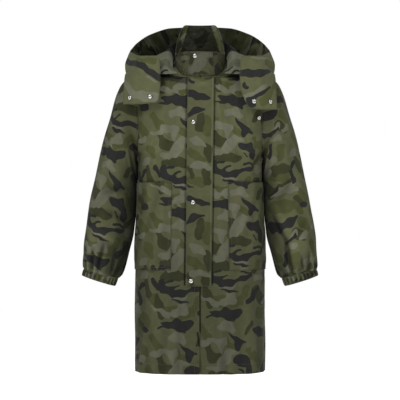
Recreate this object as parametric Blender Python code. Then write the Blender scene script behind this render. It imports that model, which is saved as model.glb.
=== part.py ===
"""Hooded field coat in its worn shape, hollow, with no wearer inside. Metres, +Z up, front faces -Y.

The origin is midway between the neck ends of the two shoulder seams. Each piece that a maker would cut is
one closed wall: a grid of points on its outer face, and the same grid moved in along the normals.
"""

import math
from typing import NamedTuple

import bmesh
import bpy
import numpy as np
from mathutils import Vector

for item in list(bpy.data.objects):
    bpy.data.objects.remove(item, do_unlink=True)

# Driving sizes
WALL = 0.002                # thickness of the cloth
SEAM = 0.0003               # gap between pieces that are sewn together
LIFT = 0.0006               # gap between a panel and what is sewn on it
HEM_Z = -0.955
UNDERARM_Z = -0.293
FRONT_NECK_Z = -0.055
BACK_NECK_Z = 0.038
POCKET_TOP_Z = -0.376
POCKET_BOTTOM_Z = -0.642
FLAP_BOTTOM_Z = -0.690
FLAP_TOP_Z = -0.060
CENTRE_GAP = 0.003          # dark slit between the two fronts
NECK_HALF_WIDTH = 0.077
NECK_FRONT_DEPTH = 0.099
NECK_BACK_DEPTH = 0.070
NECK_SQUARE = 2.5
NECK_RISE_START = 20.0      # degrees from the front where the neck seam starts to climb
NECK_RISE_SPAN = 125.0
HOOD_STAND_OFF = 0.0045     # hood's neck edge to the collar
STRIP_ANGLE = 163.0         # where the hood's side meets its centre strip, from the front
SIDE_ANGLE = 90.0           # where the hood's side meets its front pieces
SNAP_RADIUS = 0.0072
SNAP_HEIGHT = 0.0032
SNAP_SIDES = 12
SNAP_PROFILE = ((0.96, 0.0), (1.0, 0.35), (0.64, 1.0))      # shares of radius and height
HALF_ROW = 0.285            # about half a panel's row, along the cloth
POCKET_SIDE_GAP = 0.0012    # pocket's side edge to the side seam
FLAP_LIFT = 0.0012
TAB_LIFT = 0.0012

RIGHT, LEFT = -1, 1         # the wearer's sides, as signs of X
SIDE_NAMES = {RIGHT: "right", LEFT: "left"}


class BodyRow(NamedTuple):
    """One line across half of a front or of the back, from its middle to the side seam or armhole."""

    v: float
    mid_y: float
    neck_angle: float
    side_x: float
    side_y: float
    side_z: float
    square: float


FRONT_ROWS = (
    BodyRow(HEM_Z, -0.1280, 0, 0.2006, 0.000, HEM_Z, 3.0),
    BodyRow(-0.642, -0.1270, 0, 0.1995, 0.000, -0.642, 3.0),
    BodyRow(-0.545, -0.1260, 0, 0.1980, 0.000, -0.545, 3.0),
    BodyRow(-0.480, -0.1250, 0, 0.1950, 0.000, -0.480, 3.0),
    BodyRow(-0.373, -0.1235, 0, 0.1915, 0.000, -0.373, 2.9),
    BodyRow(UNDERARM_Z, -0.1220, 0, 0.1915, 0.000, UNDERARM_Z, 2.8),
    BodyRow(-0.262, -0.1210, 0, 0.1905, -0.045, -0.275, 2.7),
    BodyRow(-0.205, -0.1190, 0, 0.1885, -0.076, -0.222, 2.6),
    BodyRow(-0.140, -0.1135, 0, 0.1885, -0.078, -0.150, 2.5),
    BodyRow(-0.085, -0.1045, 0, 0.1925, -0.062, -0.098, 2.4),
    BodyRow(FRONT_NECK_Z, -NECK_FRONT_DEPTH, 0, 0.1965, -0.045, -0.073, 2.2),
    BodyRow(-0.030, -NECK_FRONT_DEPTH, 55, 0.2000, -0.028, -0.057, 2.1),
    BodyRow(-0.005, -NECK_FRONT_DEPTH, 90, 0.2050, 0.000, -0.045, 2.0),
)

BACK_ROWS = (
    BodyRow(HEM_Z, 0.1280, 180, 0.2006, 0.000, HEM_Z, 3.0),
    BodyRow(-0.642, 0.1260, 180, 0.1995, 0.000, -0.642, 3.0),
    BodyRow(-0.545, 0.1250, 180, 0.1980, 0.000, -0.545, 3.0),
    BodyRow(-0.480, 0.1245, 180, 0.1950, 0.000, -0.480, 3.0),
    BodyRow(-0.373, 0.1235, 180, 0.1915, 0.000, -0.373, 2.9),
    BodyRow(UNDERARM_Z, 0.1240, 180, 0.1915, 0.000, UNDERARM_Z, 2.8),
    BodyRow(-0.262, 0.1250, 180, 0.1910, 0.048, -0.272, 2.7),
    BodyRow(-0.200, 0.1255, 180, 0.1895, 0.082, -0.215, 2.6),
    BodyRow(-0.130, 0.1220, 180, 0.1905, 0.085, -0.140, 2.5),
    BodyRow(-0.060, 0.1110, 180, 0.1955, 0.062, -0.083, 2.4),
    BodyRow(0.000, 0.0900, 180, 0.2010, 0.032, -0.058, 2.2),
    BodyRow(BACK_NECK_Z, NECK_BACK_DEPTH, 180, 0.2030, 0.018, -0.051, 2.1),
    BodyRow(0.052, NECK_BACK_DEPTH, 135, 0.2040, 0.008, -0.047, 2.0),
    BodyRow(0.066, NECK_BACK_DEPTH, 90, 0.2050, 0.000, -0.045, 2.0),
)

# Where each panel's points lie: heights of its rows, and shares of a row's length for its columns
FRONT_LEVELS = (HEM_Z, -0.925, -0.870, -0.800, FLAP_BOTTOM_Z, POCKET_BOTTOM_Z, -0.590, -0.540, -0.490,
                -0.430, POCKET_TOP_Z, -0.330, UNDERARM_Z, -0.268, -0.236, -0.200, -0.165, -0.130, -0.100,
                -0.076, FLAP_TOP_Z, FRONT_NECK_Z, -0.048, -0.042, -0.036, -0.030, -0.0235, -0.017, -0.011,
                -0.005)
BACK_LEVELS = (HEM_Z, -0.925, -0.870, -0.800, -0.720, POCKET_BOTTOM_Z, -0.590, -0.540, -0.490,
               -0.430, POCKET_TOP_Z, -0.330, UNDERARM_Z, -0.268, -0.232, -0.190, -0.150, -0.110, -0.070,
               -0.030, 0.005, BACK_NECK_Z, 0.0405, 0.0435, 0.0465, 0.0495, 0.053, 0.057, 0.0615, 0.066)
COLUMNS = (0.0, 0.15, 0.31, 0.42, 0.53, 0.62, 0.69, 0.76, 0.83, 0.91, 1.0)
POCKET_COLUMN = 2           # the column at the pocket's free edge, 88 mm from the centre front


class Ring(NamedTuple):
    """One section of the sleeve: where its outer and inner lines pass, and its depth front to back."""

    v: float
    outer_x: float
    outer_z: float
    inner_x: float
    inner_z: float
    centre_y: float
    half_depth: float


SLEEVE_RINGS = (
    Ring(0.06, 0.2356, -0.0640, 0.1936, -0.303, 0.002, 0.084),
    Ring(0.12, 0.2573, -0.1014, 0.1938, -0.320, 0.001, 0.084),
    Ring(0.22, 0.2790, -0.1758, 0.1938, -0.347, 0.000, 0.081),
    Ring(0.34, 0.3035, -0.2620, 0.1940, -0.377, -0.002, 0.077),
    Ring(0.48, 0.3258, -0.3680, 0.1968, -0.420, -0.006, 0.073),
    Ring(0.60, 0.3413, -0.4455, 0.1996, -0.480, -0.012, 0.071),
    Ring(0.69, 0.3505, -0.5000, 0.2034, -0.528, -0.017, 0.069),
    Ring(0.80, 0.3585, -0.5670, 0.2165, -0.582, -0.024, 0.066),
    Ring(0.89, 0.3590, -0.6070, 0.2300, -0.629, -0.030, 0.060),
    Ring(0.96, 0.3580, -0.6310, 0.2415, -0.656, -0.033, 0.053),
    Ring(1.00, 0.3569, -0.6408, 0.2511, -0.6690, -0.034, 0.044),
)
CUFF_TOP = Ring(0.0, 0.3571, -0.6412, 0.2513, -0.6694, -0.034, 0.044)
CUFF_BOTTOM = Ring(1.0, 0.3627, -0.6610, 0.2606, -0.6938, -0.036, 0.044)
SLEEVE_STEPS = (0.0, 0.07, 0.14, 0.21, 0.29, 0.38, 0.47, 0.56, 0.65, 0.74, 0.82, 0.88, 0.925, 0.96, 1.0)
SLEEVE_AROUND = 40
GATHERS = 10                # folds round the sleeve where it runs into the cuff
GATHER_DEPTH = 0.0042
GATHER_START = 0.78
GATHER_END = 0.955
CAP_CALM = 0.08             # the cap has no folds nearer the armhole than this
INNER_CALM = 38.0           # degrees either side of the inner line where the folds fade out
SLEEVE_FOLD_SCALE = 460.0   # degrees round that are as long as the whole sleeve
CUFF_RUFFLE = 0.0012


class Fold(NamedTuple):
    """A long soft ridge, or a trough where its height is negative, on a sleeve or a panel."""

    across: float
    along: float
    end_across: float
    end_along: float
    half_width: float
    height: float


# On the sleeves: across is degrees round from the inner line by way of the front, along is v
SLEEVE_FOLDS = {
    RIGHT: (
        Fold(60, 0.10, 24, 0.26, 9, 0.0060),
        Fold(74, 0.18, 30, 0.36, 10, 0.0050),
        Fold(52, 0.44, 118, 0.52, 13, -0.0050),
        Fold(40, 0.64, 112, 0.60, 12, -0.0045),
        Fold(128, 0.70, 62, 0.76, 12, 0.0045),
        Fold(300, 0.20, 330, 0.36, 12, 0.0060),
        Fold(250, 0.46, 310, 0.56, 14, -0.0050),
        Fold(220, 0.62, 290, 0.70, 13, 0.0045),
    ),
    LEFT: (
        Fold(62, 0.12, 26, 0.28, 9, 0.0050),
        Fold(44, 0.60, 96, 0.92, 9, -0.0070),
        Fold(58, 0.56, 110, 0.80, 11, 0.0040),
        Fold(112, 0.44, 66, 0.52, 13, -0.0040),
        Fold(134, 0.66, 100, 0.72, 12, -0.0040),
        Fold(296, 0.18, 326, 0.34, 12, 0.0060),
        Fold(246, 0.50, 304, 0.58, 14, -0.0050),
        Fold(228, 0.66, 286, 0.72, 13, 0.0045),
    ),
}

# On the panels: across is metres from the centre line, along is the height v
FRONT_FOLDS = {
    RIGHT: (
        Fold(0.165, -0.150, 0.150, -0.330, 0.012, 0.0022),
        Fold(0.128, -0.180, 0.130, -0.330, 0.009, -0.0016),
        Fold(0.140, -0.700, 0.150, -0.930, 0.020, 0.0030),
    ),
    LEFT: (
        Fold(0.080, -0.070, 0.077, -0.150, 0.006, 0.0030),
        Fold(0.170, -0.150, 0.160, -0.320, 0.012, 0.0020),
        Fold(0.150, -0.700, 0.140, -0.930, 0.020, 0.0030),
    ),
}
BACK_FOLDS = (
    Fold(0.150, -0.200, 0.130, -0.420, 0.018, 0.0035),
    Fold(0.090, -0.560, 0.100, -0.920, 0.026, 0.0040),
    Fold(0.000, -0.300, 0.000, -0.620, 0.024, -0.0035),
)


class CollarRow(NamedTuple):
    """One line round the stand collar; share runs from the neck seam to the top edge."""

    share: float
    half_width: float
    front_depth: float
    back_depth: float
    front_z: float
    back_z: float
    square: float
    rise_start: float
    rise_span: float


COLLAR_ROWS = (
    CollarRow(0.00, 0.0766, 0.0986, 0.0696, -0.0538, 0.0392, NECK_SQUARE, NECK_RISE_START, NECK_RISE_SPAN),
    CollarRow(0.45, 0.0766, 0.1010, 0.0680, -0.0205, 0.0760, 2.4, 44.0, 96.0),
    CollarRow(1.00, 0.0750, 0.1000, 0.0640, 0.0200, 0.1190, 2.1, 80.0, 66.0),
)
COLLAR_STEPS = (0.0, 0.25, 0.5, 0.75, 1.0)
COLLAR_AROUND = 33
COLLAR_TAB_RIGHT = -0.0345   # where the collar's front tab ends on each side
COLLAR_TAB_LEFT = 0.0425

FLAP_TOP_EDGES = (-0.0373, 0.0427)       # storm flap, free edge and sewn edge
FLAP_BOTTOM_EDGES = (-0.0439, 0.0340)


class HoodRow(NamedTuple):
    """One upright section of the hood's side; out is measured from the neck's axis."""

    angle: float
    crest_out: float
    crest_z: float
    floor_out: float
    floor_z: float
    roll_out: float
    roll_z: float
    wall_out: float
    wall_z: float
    rim_out: float
    rim_z: float


HOOD_ROWS = (
    HoodRow(90, 0.098, 0.032, 0.155, -0.004, 0.2290, -0.036, 0.2325, -0.012, 0.2170, 0.030),
    HoodRow(101, 0.096, 0.044, 0.150, 0.000, 0.2230, -0.052, 0.2310, -0.002, 0.2190, 0.042),
    HoodRow(112, 0.094, 0.056, 0.145, 0.004, 0.2130, -0.078, 0.2270, 0.000, 0.2170, 0.064),
    HoodRow(130, 0.089, 0.070, 0.140, 0.006, 0.1950, -0.110, 0.2180, -0.006, 0.2050, 0.100),
    HoodRow(150, 0.086, 0.078, 0.134, 0.006, 0.1780, -0.150, 0.2060, -0.030, 0.1860, 0.123),
    HoodRow(180, 0.084, 0.080, 0.128, 0.004, 0.1680, -0.180, 0.2000, -0.048, 0.1650, 0.129),
)
HOOD_NECK_RISE = 0.006
HOOD_PROFILE_STEPS = 17
HOOD_SIDE_STEPS = 7
HOOD_STRIP_STEPS = 3
STRIP_GAP = 0.25            # degrees between the hood's side and its strip
PATCH_COLUMNS = 10


class PatchRow(NamedTuple):
    """One line across a hood front piece: its outer end, its middle and its inner end."""

    v: float
    outer: tuple
    middle: tuple
    inner: tuple


# The throat piece, from its front edge under the tab back to the hood's side
THROAT_ROWS = (
    PatchRow(0.00, (0.150, -0.0965, -0.046), (0.104, -0.1035, -0.049), (0.0700, -0.1035, -0.046)),
    PatchRow(0.30, (0.150, -0.084, -0.014), (0.106, -0.0880, -0.012), (0.0838, -0.0780, -0.022)),
    PatchRow(0.60, (0.152, -0.050, 0.004), (0.102, -0.0530, 0.024), (0.0835, -0.0450, 0.002)),
)
THROAT_STEPS = 7

# The front tab, from its bottom edge up over the shoulder to the hood's rim
TAB_ROWS = (
    PatchRow(0.00, (0.2320, -0.114, -0.1410), (0.1820, -0.131, -0.1420), (0.1290, -0.137, -0.1370)),
    PatchRow(0.08, (0.2320, -0.113, -0.1340), (0.1810, -0.131, -0.1320), (0.1235, -0.137, -0.1240)),
    PatchRow(0.40, (0.2318, -0.086, -0.0860), (0.1790, -0.127, -0.0850), (0.1190, -0.131, -0.0760)),
    PatchRow(0.66, (0.2300, -0.038, -0.0440), (0.1820, -0.112, -0.0330), (0.1200, -0.126, -0.0330)),
)
TAB_ROLL = (0.1840, -0.098, -0.0080), (0.1225, -0.121, -0.0100)
TAB_WALL = (0.1860, -0.090, 0.0010), (0.1240, -0.117, -0.0010)
TAB_RIM = (0.1800, -0.080, 0.0090), (0.1280, -0.113, 0.0060)
TAB_ROW_STEPS = (0.0, 0.04, 0.12, 0.24, 0.37, 0.50, 0.62, 0.74, 0.84, 0.92, 1.0)


class TabChange(NamedTuple):
    """How one side's tab differs from the table: a lower bottom edge and an inner edge that slants out."""

    drop: float
    slant: float


TAB_CHANGES = {RIGHT: TabChange(0.0, 0.0), LEFT: TabChange(0.016, 0.020)}


class Snap(NamedTuple):
    """A snap cap: the piece it sits on, and where its middle is in the front view."""

    name: str
    carrier: str
    x: float
    z: float
    lift: float = 0.0006


SNAPS = (
    Snap("snap_collar", "collar_tab", -0.0157, 0.0060),
    Snap("snap_chest", "storm_flap", -0.0200, -0.1950),
    Snap("snap_waist", "storm_flap", -0.0212, -0.4370),
    Snap("snap_lower", "storm_flap", -0.0272, -0.6735),
    Snap("snap_tab_right_outer", "hood_tab_right", -0.2110, -0.1225, 0.0016),
    Snap("snap_tab_right_inner", "hood_tab_right", -0.1500, -0.1200, 0.0010),
    Snap("snap_tab_left_inner", "hood_tab_left", 0.1625, -0.1340, 0.0010),
    Snap("snap_tab_left_outer", "hood_tab_left", 0.2120, -0.1345, 0.0016),
    Snap("snap_stud_left", "front_left", 0.1780, -0.1810, 0.0022),
)

# Colours of the cloth and the metal: red, green, blue, roughness, metallic
CLOTH = (0.085, 0.092, 0.050, 0.85, 0.0)
CLOTH_DARK = (0.062, 0.070, 0.038, 0.88, 0.0)
SNAP_METAL = (0.62, 0.61, 0.56, 0.28, 1.0)


# ---------------------------------------------------------------- curves and grids

def ease(knots, values, at):
    """Smooth curve through values at knots that never overshoots them; at may be an array."""
    knots = np.asarray(knots, float)
    values = np.asarray(values, float)
    at = np.clip(np.atleast_1d(np.asarray(at, float)), knots[0], knots[-1])
    tail = (1,) * (values.ndim - 1)
    gaps = np.diff(knots).reshape((-1,) + tail)
    slopes = np.diff(values, axis=0) / gaps
    tangents = np.zeros_like(values)
    tangents[0], tangents[-1] = slopes[0], slopes[-1]
    product = slopes[:-1] * slopes[1:]
    total = slopes[:-1] + slopes[1:]
    tangents[1:-1] = np.where(product > 0, 2 * product / np.where(total == 0, 1, total), 0)
    cell = np.clip(np.searchsorted(knots, at, side="right") - 1, 0, len(knots) - 2)
    gap = gaps[cell]
    t = (at - knots[cell]).reshape((-1,) + tail) / gap
    low = (1 + 2 * t) * (1 - t) ** 2 * values[cell] + t * (1 - t) ** 2 * gap * tangents[cell]
    high = t * t * (3 - 2 * t) * values[cell + 1] + t * t * (t - 1) * gap * tangents[cell + 1]
    return low + high


def column(rows, name):
    """One named column of a table."""
    return np.array([getattr(row, name) for row in rows], float)


def smooth_step(share):
    """Rise from 0 to 1 with flat ends."""
    share = min(max(share, 0.0), 1.0)
    return share * share * (3 - 2 * share)


def even_points(points, shares):
    """Points at the given shares of a line's length."""
    steps = np.linalg.norm(np.diff(points, axis=0), axis=1)
    length = np.concatenate(([0.0], np.cumsum(steps)))
    at = np.asarray(shares) * length[-1]
    return np.stack([np.interp(at, length, points[:, axis]) for axis in range(3)], axis=1)


def net(row_knots, column_knots, points, row_at, column_at):
    """Smooth surface through a net of points."""
    across = np.stack([ease(column_knots, row, column_at) for row in points])
    return ease(row_knots, across, row_at)


def normals(grid, closed=False):
    """Unit normals of a grid; closed means that its columns run round and meet."""
    if closed:
        around = np.roll(grid, -1, axis=1) - np.roll(grid, 1, axis=1)
    else:
        around = np.gradient(grid, axis=1)
    along = np.gradient(grid, axis=0)
    cross = np.cross(around, along)
    return cross / np.linalg.norm(cross, axis=2, keepdims=True)


def without(directions, axis):
    """Unit directions with their part along an axis taken out, so that two pieces meet square."""
    flat = directions - np.outer(directions @ axis, axis)
    return flat / np.linalg.norm(flat, axis=1, keepdims=True)


def fold_height(folds, across, along, along_scale):
    """Total height of the folds at a point."""
    total = 0.0
    for fold in folds:
        run = np.array([fold.end_across - fold.across, (fold.end_along - fold.along) * along_scale])
        to_point = np.array([across - fold.across, (along - fold.along) * along_scale])
        share = float(np.dot(run, to_point) / np.dot(run, run))
        near = min(max(share, 0.0), 1.0)
        off = np.linalg.norm(to_point - near * run) / fold.half_width
        taper = 0.35 + 0.65 * math.sin(math.pi * near)
        total += fold.height * taper * math.exp(-off * off)
    return total


# ---------------------------------------------------------------- objects

def principled(name, look):
    """Principled material of one piece."""
    material = bpy.data.materials.new(name + "_material")
    material.use_nodes = True
    shader = material.node_tree.nodes["Principled BSDF"]
    shader.inputs["Base Color"].default_value = (look[0], look[1], look[2], 1.0)
    shader.inputs["Roughness"].default_value = look[3]
    shader.inputs["Metallic"].default_value = look[4]
    return material


def add_object(name, points, faces, look):
    """Mesh object with its own material, its faces turned outwards."""
    mesh = bpy.data.meshes.new(name)
    corners = [points[face[0]].dot(np.cross(points[face[k]], points[face[k + 1]]))
               for face in faces for k in range(1, len(face) - 1)]
    if sum(corners) < 0:
        faces = [face[::-1] for face in faces]
    mesh.from_pydata([tuple(point) for point in points], [], [tuple(face) for face in faces])
    mesh.update()
    mesh.shade_smooth()
    mesh.set_sharp_from_angle(angle=math.radians(50))
    mesh.materials.append(principled(name, look))
    item = bpy.data.objects.new(name, mesh)
    bpy.context.scene.collection.objects.link(item)
    return item


def grid_quads(rows, columns, closed=False):
    """Corner numbers of a grid's cells; closed joins the last column to the first."""
    steps = columns if closed else columns - 1
    quads = []
    for i in range(rows - 1):
        for j in range(steps):
            near, far = i * columns + j, i * columns + (j + 1) % columns
            quads.append((near, far, far + columns, near + columns))
    return quads


def wall_faces(quads, half):
    """Faces of a closed wall: the outer cells, the inner cells and a strip along every free edge."""
    edges = {}
    for quad in quads:
        for k in range(4):
            edges[(quad[k], quad[(k + 1) % 4])] = True
    faces = [list(quad) for quad in quads]
    faces += [[corner + half for corner in reversed(quad)] for quad in quads]
    faces += [[b, a, a + half, b + half] for a, b in edges if (b, a) not in edges]
    return faces


def add_wall(name, outer, inward, closed=False, look=CLOTH):
    """Closed wall between an outer grid and the same grid moved in by the cloth's thickness."""
    points = np.concatenate([outer.reshape(-1, 3), (outer + inward * WALL).reshape(-1, 3)])
    quads = grid_quads(outer.shape[0], outer.shape[1], closed)
    return add_object(name, points, wall_faces(quads, outer.shape[0] * outer.shape[1]), look)


# ---------------------------------------------------------------- body

def neck_ring(angle, half_width, front, back, front_z, back_z, square=NECK_SQUARE, rise_start=NECK_RISE_START,
              rise_span=NECK_RISE_SPAN):
    """Point on a ring round the neck; angle in degrees from the front, positive towards +X."""
    turn = math.radians(angle)
    power = 2 / square
    depth = front if math.cos(turn) > 0 else back
    x = math.copysign(abs(math.sin(turn)) ** power, math.sin(turn)) * half_width
    y = -math.copysign(abs(math.cos(turn)) ** power, math.cos(turn)) * depth
    from_front = angle if angle <= 180 else 360 - angle
    rise = smooth_step((from_front - rise_start) / rise_span)
    return np.array([x, y, front_z + (back_z - front_z) * rise])


def neck_point(angle):
    """Point on the body's neck edge."""
    return neck_ring(angle, NECK_HALF_WIDTH, NECK_FRONT_DEPTH, NECK_BACK_DEPTH, FRONT_NECK_Z, BACK_NECK_Z)


def panel_row(rows, neck_v, v, shares):
    """Points along one line of a half panel, from its middle or neck edge to its side."""
    knots = column(rows, "v")
    value = {name: float(ease(knots, column(rows, name), v)[0]) for name in BodyRow._fields[1:]}
    if v > neck_v:
        start = neck_point(value["neck_angle"])
    else:
        start = np.array([0.0, value["mid_y"], v])
    end = np.array([value["side_x"], value["side_y"], value["side_z"]])
    turn = np.linspace(0.0, math.pi / 2, 61)
    power = 2 / value["square"]
    across = np.sin(turn) ** power
    forward = np.cos(turn) ** power
    line = np.stack([start[0] + (end[0] - start[0]) * across,
                     end[1] + (start[1] - end[1]) * forward,
                     start[2] + (end[2] - start[2]) * across], axis=1)
    return even_points(line, shares)


def half_panel(rows, neck_v, levels, folds, facing):
    """Outer grid of half a panel at +X and its inward directions; facing is -1 in front, 1 at the back."""
    grid = np.stack([panel_row(rows, neck_v, v, COLUMNS) for v in levels])
    out = normals(grid)
    out *= np.sign(out[0, 0, 1]) * facing
    for i, v in enumerate(levels):
        for j, share in enumerate(COLUMNS):
            grid[i, j] += out[i, j] * fold_height(folds, share * HALF_ROW, v, 1.0)
    limit = np.minimum if facing < 0 else np.maximum
    grid[:, :, 1] = limit(grid[:, :, 1], facing * SEAM / 2)
    out[:levels.index(UNDERARM_Z) + 1, -1] = (1.0, 0.0, 0.0)
    out[-1, :, 1] = 0.0
    out /= np.linalg.norm(out, axis=2, keepdims=True)
    return grid, -out


def mirrored(grid):
    """The same grid at the other side of the body."""
    return grid * np.array([-1.0, 1.0, 1.0])


def on_side(grid, side):
    """A grid worked out at +X, put on the wearer's right or left."""
    return mirrored(grid) if side == RIGHT else grid


def build_front(side):
    """One front and the patch pocket sewn on it."""
    grid, inward = half_panel(FRONT_ROWS, FRONT_NECK_Z, FRONT_LEVELS, FRONT_FOLDS[side], -1)
    grid[:, 0, 0] = np.maximum(grid[:, 0, 0], CENTRE_GAP / 2)
    low, high = FRONT_LEVELS.index(POCKET_BOTTOM_Z), FRONT_LEVELS.index(POCKET_TOP_Z) + 1
    pocket_in = inward[low:high, POCKET_COLUMN:]
    pocket = grid[low:high, POCKET_COLUMN:] - pocket_in * (LIFT + WALL)
    pocket[:, -1, 1] = -POCKET_SIDE_GAP
    add_wall("front_" + SIDE_NAMES[side], on_side(grid, side), on_side(inward, side))
    add_wall("pocket_" + SIDE_NAMES[side], on_side(pocket, side), on_side(pocket_in, side))
    return grid


def build_back():
    """One plain back, from side seam to side seam, parted above its neck edge."""
    grid, inward = half_panel(BACK_ROWS, BACK_NECK_Z, BACK_LEVELS, BACK_FOLDS, 1)
    rows, columns = grid.shape[:2]
    count = rows * columns
    neck_row = BACK_LEVELS.index(BACK_NECK_Z)
    shared = {count + i * columns: i * columns for i in range(neck_row + 1)}
    quads = grid_quads(rows, columns)
    quads += [tuple(shared.get(corner + count, corner + count) for corner in reversed(quad))
              for quad in grid_quads(rows, columns)]
    outer = np.concatenate([grid.reshape(-1, 3), mirrored(grid).reshape(-1, 3)])
    inner = outer + WALL * np.concatenate([inward.reshape(-1, 3), mirrored(inward).reshape(-1, 3)])
    used = sorted({corner for quad in quads for corner in quad})
    number = {corner: place for place, corner in enumerate(used)}
    quads = [tuple(number[corner] for corner in quad) for quad in quads]
    points = np.concatenate([outer[used], inner[used]])
    add_object("back", points, wall_faces(quads, len(used)), CLOTH)
    return grid


def front_point(v, x, lift):
    """Point on either front at height v and distance x from the centre line, moved out by lift."""
    line = panel_row(FRONT_ROWS, FRONT_NECK_Z, v, np.linspace(0, 1, 81))
    y = float(np.interp(abs(x), line[:, 0], line[:, 1]))
    return np.array([x, y - lift, v])


def build_storm_flap():
    """Flap over the centre front; it leans slightly, as its edges' places say."""
    levels = [v for v in FRONT_LEVELS if FLAP_BOTTOM_Z <= v <= FLAP_TOP_Z]
    rows = []
    for v in levels:
        share = (v - FLAP_BOTTOM_Z) / (FLAP_TOP_Z - FLAP_BOTTOM_Z)
        edges = [low + (high - low) * share for low, high in zip(FLAP_BOTTOM_EDGES, FLAP_TOP_EDGES)]
        rows.append([front_point(v, x, FLAP_LIFT + WALL) for x in np.linspace(edges[0], edges[1], 6)])
    grid = np.array(rows)
    inward = normals(grid)
    inward *= np.sign(inward[0, 0, 1])
    add_wall("storm_flap", grid, inward)


# ---------------------------------------------------------------- sleeves

def armhole(front_grid, back_grid):
    """Closed line round the armhole from the underarm by way of the front, evenly spaced on each half."""
    shares = np.linspace(0, 1, SLEEVE_AROUND // 2 + 1)
    front = even_points(front_grid[FRONT_LEVELS.index(UNDERARM_Z):, -1], shares)
    back = even_points(back_grid[BACK_LEVELS.index(UNDERARM_Z):, -1], shares)
    line = np.concatenate([front[:-1], back[:0:-1]])
    line[[0, SLEEVE_AROUND // 2], 1] = 0.0
    return line + np.array([2 * SEAM, 0.0, 0.0])


def ring_points(ring, count):
    """Oval section of the sleeve, its first point on the inner line, its next towards the front."""
    turn = np.linspace(0, 2 * math.pi, count, endpoint=False)
    middle = np.array([(ring.outer_x + ring.inner_x) / 2, ring.centre_y, (ring.outer_z + ring.inner_z) / 2])
    half = np.array([(ring.outer_x - ring.inner_x) / 2, 0.0, (ring.outer_z - ring.inner_z) / 2])
    depth = np.array([0.0, -ring.half_depth, 0.0])
    return middle - np.outer(np.cos(turn), half) + np.outer(np.sin(turn), depth)


def build_sleeve(side, hole):
    """One sleeve from the armhole to its gathered end."""
    knots = [0.0] + [ring.v for ring in SLEEVE_RINGS]
    sections = np.stack([hole] + [ring_points(ring, SLEEVE_AROUND) for ring in SLEEVE_RINGS])
    grid = ease(knots, sections, SLEEVE_STEPS)
    out = normals(grid, closed=True)
    out *= np.sign(out[5, SLEEVE_AROUND // 2, 0])
    for i, v in enumerate(SLEEVE_STEPS):
        gather = GATHER_DEPTH * smooth_step((v - GATHER_START) / (GATHER_END - GATHER_START))
        gather *= 1 - 0.6 * smooth_step((v - GATHER_END) / (1 - GATHER_END))
        for j in range(SLEEVE_AROUND):
            angle = 360 * j / SLEEVE_AROUND
            height = fold_height(SLEEVE_FOLDS[side], angle, v, SLEEVE_FOLD_SCALE)
            height *= smooth_step(min(angle, 360 - angle) / INNER_CALM)
            height += gather * math.cos(math.radians(GATHERS * angle))
            grid[i, j] += out[i, j] * height * smooth_step(v / CAP_CALM)
    name = SIDE_NAMES[side]
    add_wall("sleeve_" + name, on_side(grid, side), on_side(-out, side), closed=True)


def build_cuff(side):
    """Elastic casing at the sleeve's end, slightly ruffled."""
    grid = ease([0.0, 1.0], np.stack([ring_points(ring, SLEEVE_AROUND) for ring in (CUFF_TOP, CUFF_BOTTOM)]),
                (0.0, 0.5, 1.0))
    out = normals(grid, closed=True)
    out *= np.sign(out[0, SLEEVE_AROUND // 2, 0])
    ruffle = np.cos(GATHERS * np.linspace(0, 2 * math.pi, SLEEVE_AROUND, endpoint=False))
    belly = np.array([0.2, 1.0, 0.3])
    grid = grid + out * (CUFF_RUFFLE * ruffle * belly[:, None])[:, :, None]
    add_wall("cuff_" + SIDE_NAMES[side], on_side(grid, side), on_side(-out, side), closed=True,
             look=CLOTH_DARK)


# ---------------------------------------------------------------- collar

def collar_ring(share, angle, spread=0.0):
    """Point on the collar's outer face; spread moves it out from the neck."""
    shares = column(COLLAR_ROWS, "share")
    value = [float(ease(shares, column(COLLAR_ROWS, name), share)[0]) for name in CollarRow._fields[1:]]
    return neck_ring(angle, value[0] + spread, value[1] + spread, value[2] + spread, *value[3:])


def collar_angle(x, half_width):
    """Angle on the front of the ring at a distance x from the centre line."""
    return math.degrees(math.asin((abs(x) / half_width) ** (NECK_SQUARE / 2))) * (1 if x >= 0 else -1)


def build_collar():
    """Stand collar, open by a slit at the centre front, and the tab over the slit."""
    slit = collar_angle(CENTRE_GAP / 2, NECK_HALF_WIDTH)
    angles = np.linspace(slit, 360 - slit, 241)
    shares = np.linspace(0, 1, COLLAR_AROUND)
    grid = np.stack([even_points(np.array([collar_ring(step, angle) for angle in angles]), shares)
                     for step in COLLAR_STEPS])
    inward = normals(grid)
    inward *= np.sign(inward[0, 0, 1])
    add_wall("collar", grid, inward)
    tab_x = np.linspace(COLLAR_TAB_RIGHT, COLLAR_TAB_LEFT, 7)
    tab_steps = (0.05, 0.3, 0.55, 0.8, 0.985)
    tab = np.stack([[collar_ring(step, collar_angle(x, NECK_HALF_WIDTH), TAB_LIFT + WALL) for x in tab_x]
                    for step in tab_steps])
    tab_in = normals(tab)
    tab_in *= np.sign(tab_in[0, 0, 1])
    add_wall("collar_tab", tab, tab_in)


# ---------------------------------------------------------------- hood

def neck_out(angle):
    """Distance from the neck's axis to its edge, and the edge's height, in one direction."""
    turn = math.radians(angle)
    depth = NECK_FRONT_DEPTH if math.cos(turn) > 0 else NECK_BACK_DEPTH
    spread = (abs(math.sin(turn)) / NECK_HALF_WIDTH) ** NECK_SQUARE
    spread += (abs(math.cos(turn)) / depth) ** NECK_SQUARE
    out = spread ** (-1 / NECK_SQUARE)
    share = min(out * abs(math.sin(turn)) / NECK_HALF_WIDTH, 1.0)
    ring_angle = math.degrees(math.asin(share ** (NECK_SQUARE / 2)))
    if math.cos(turn) < 0:
        ring_angle = 180 - ring_angle
    return out, neck_point(ring_angle)[2]


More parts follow.
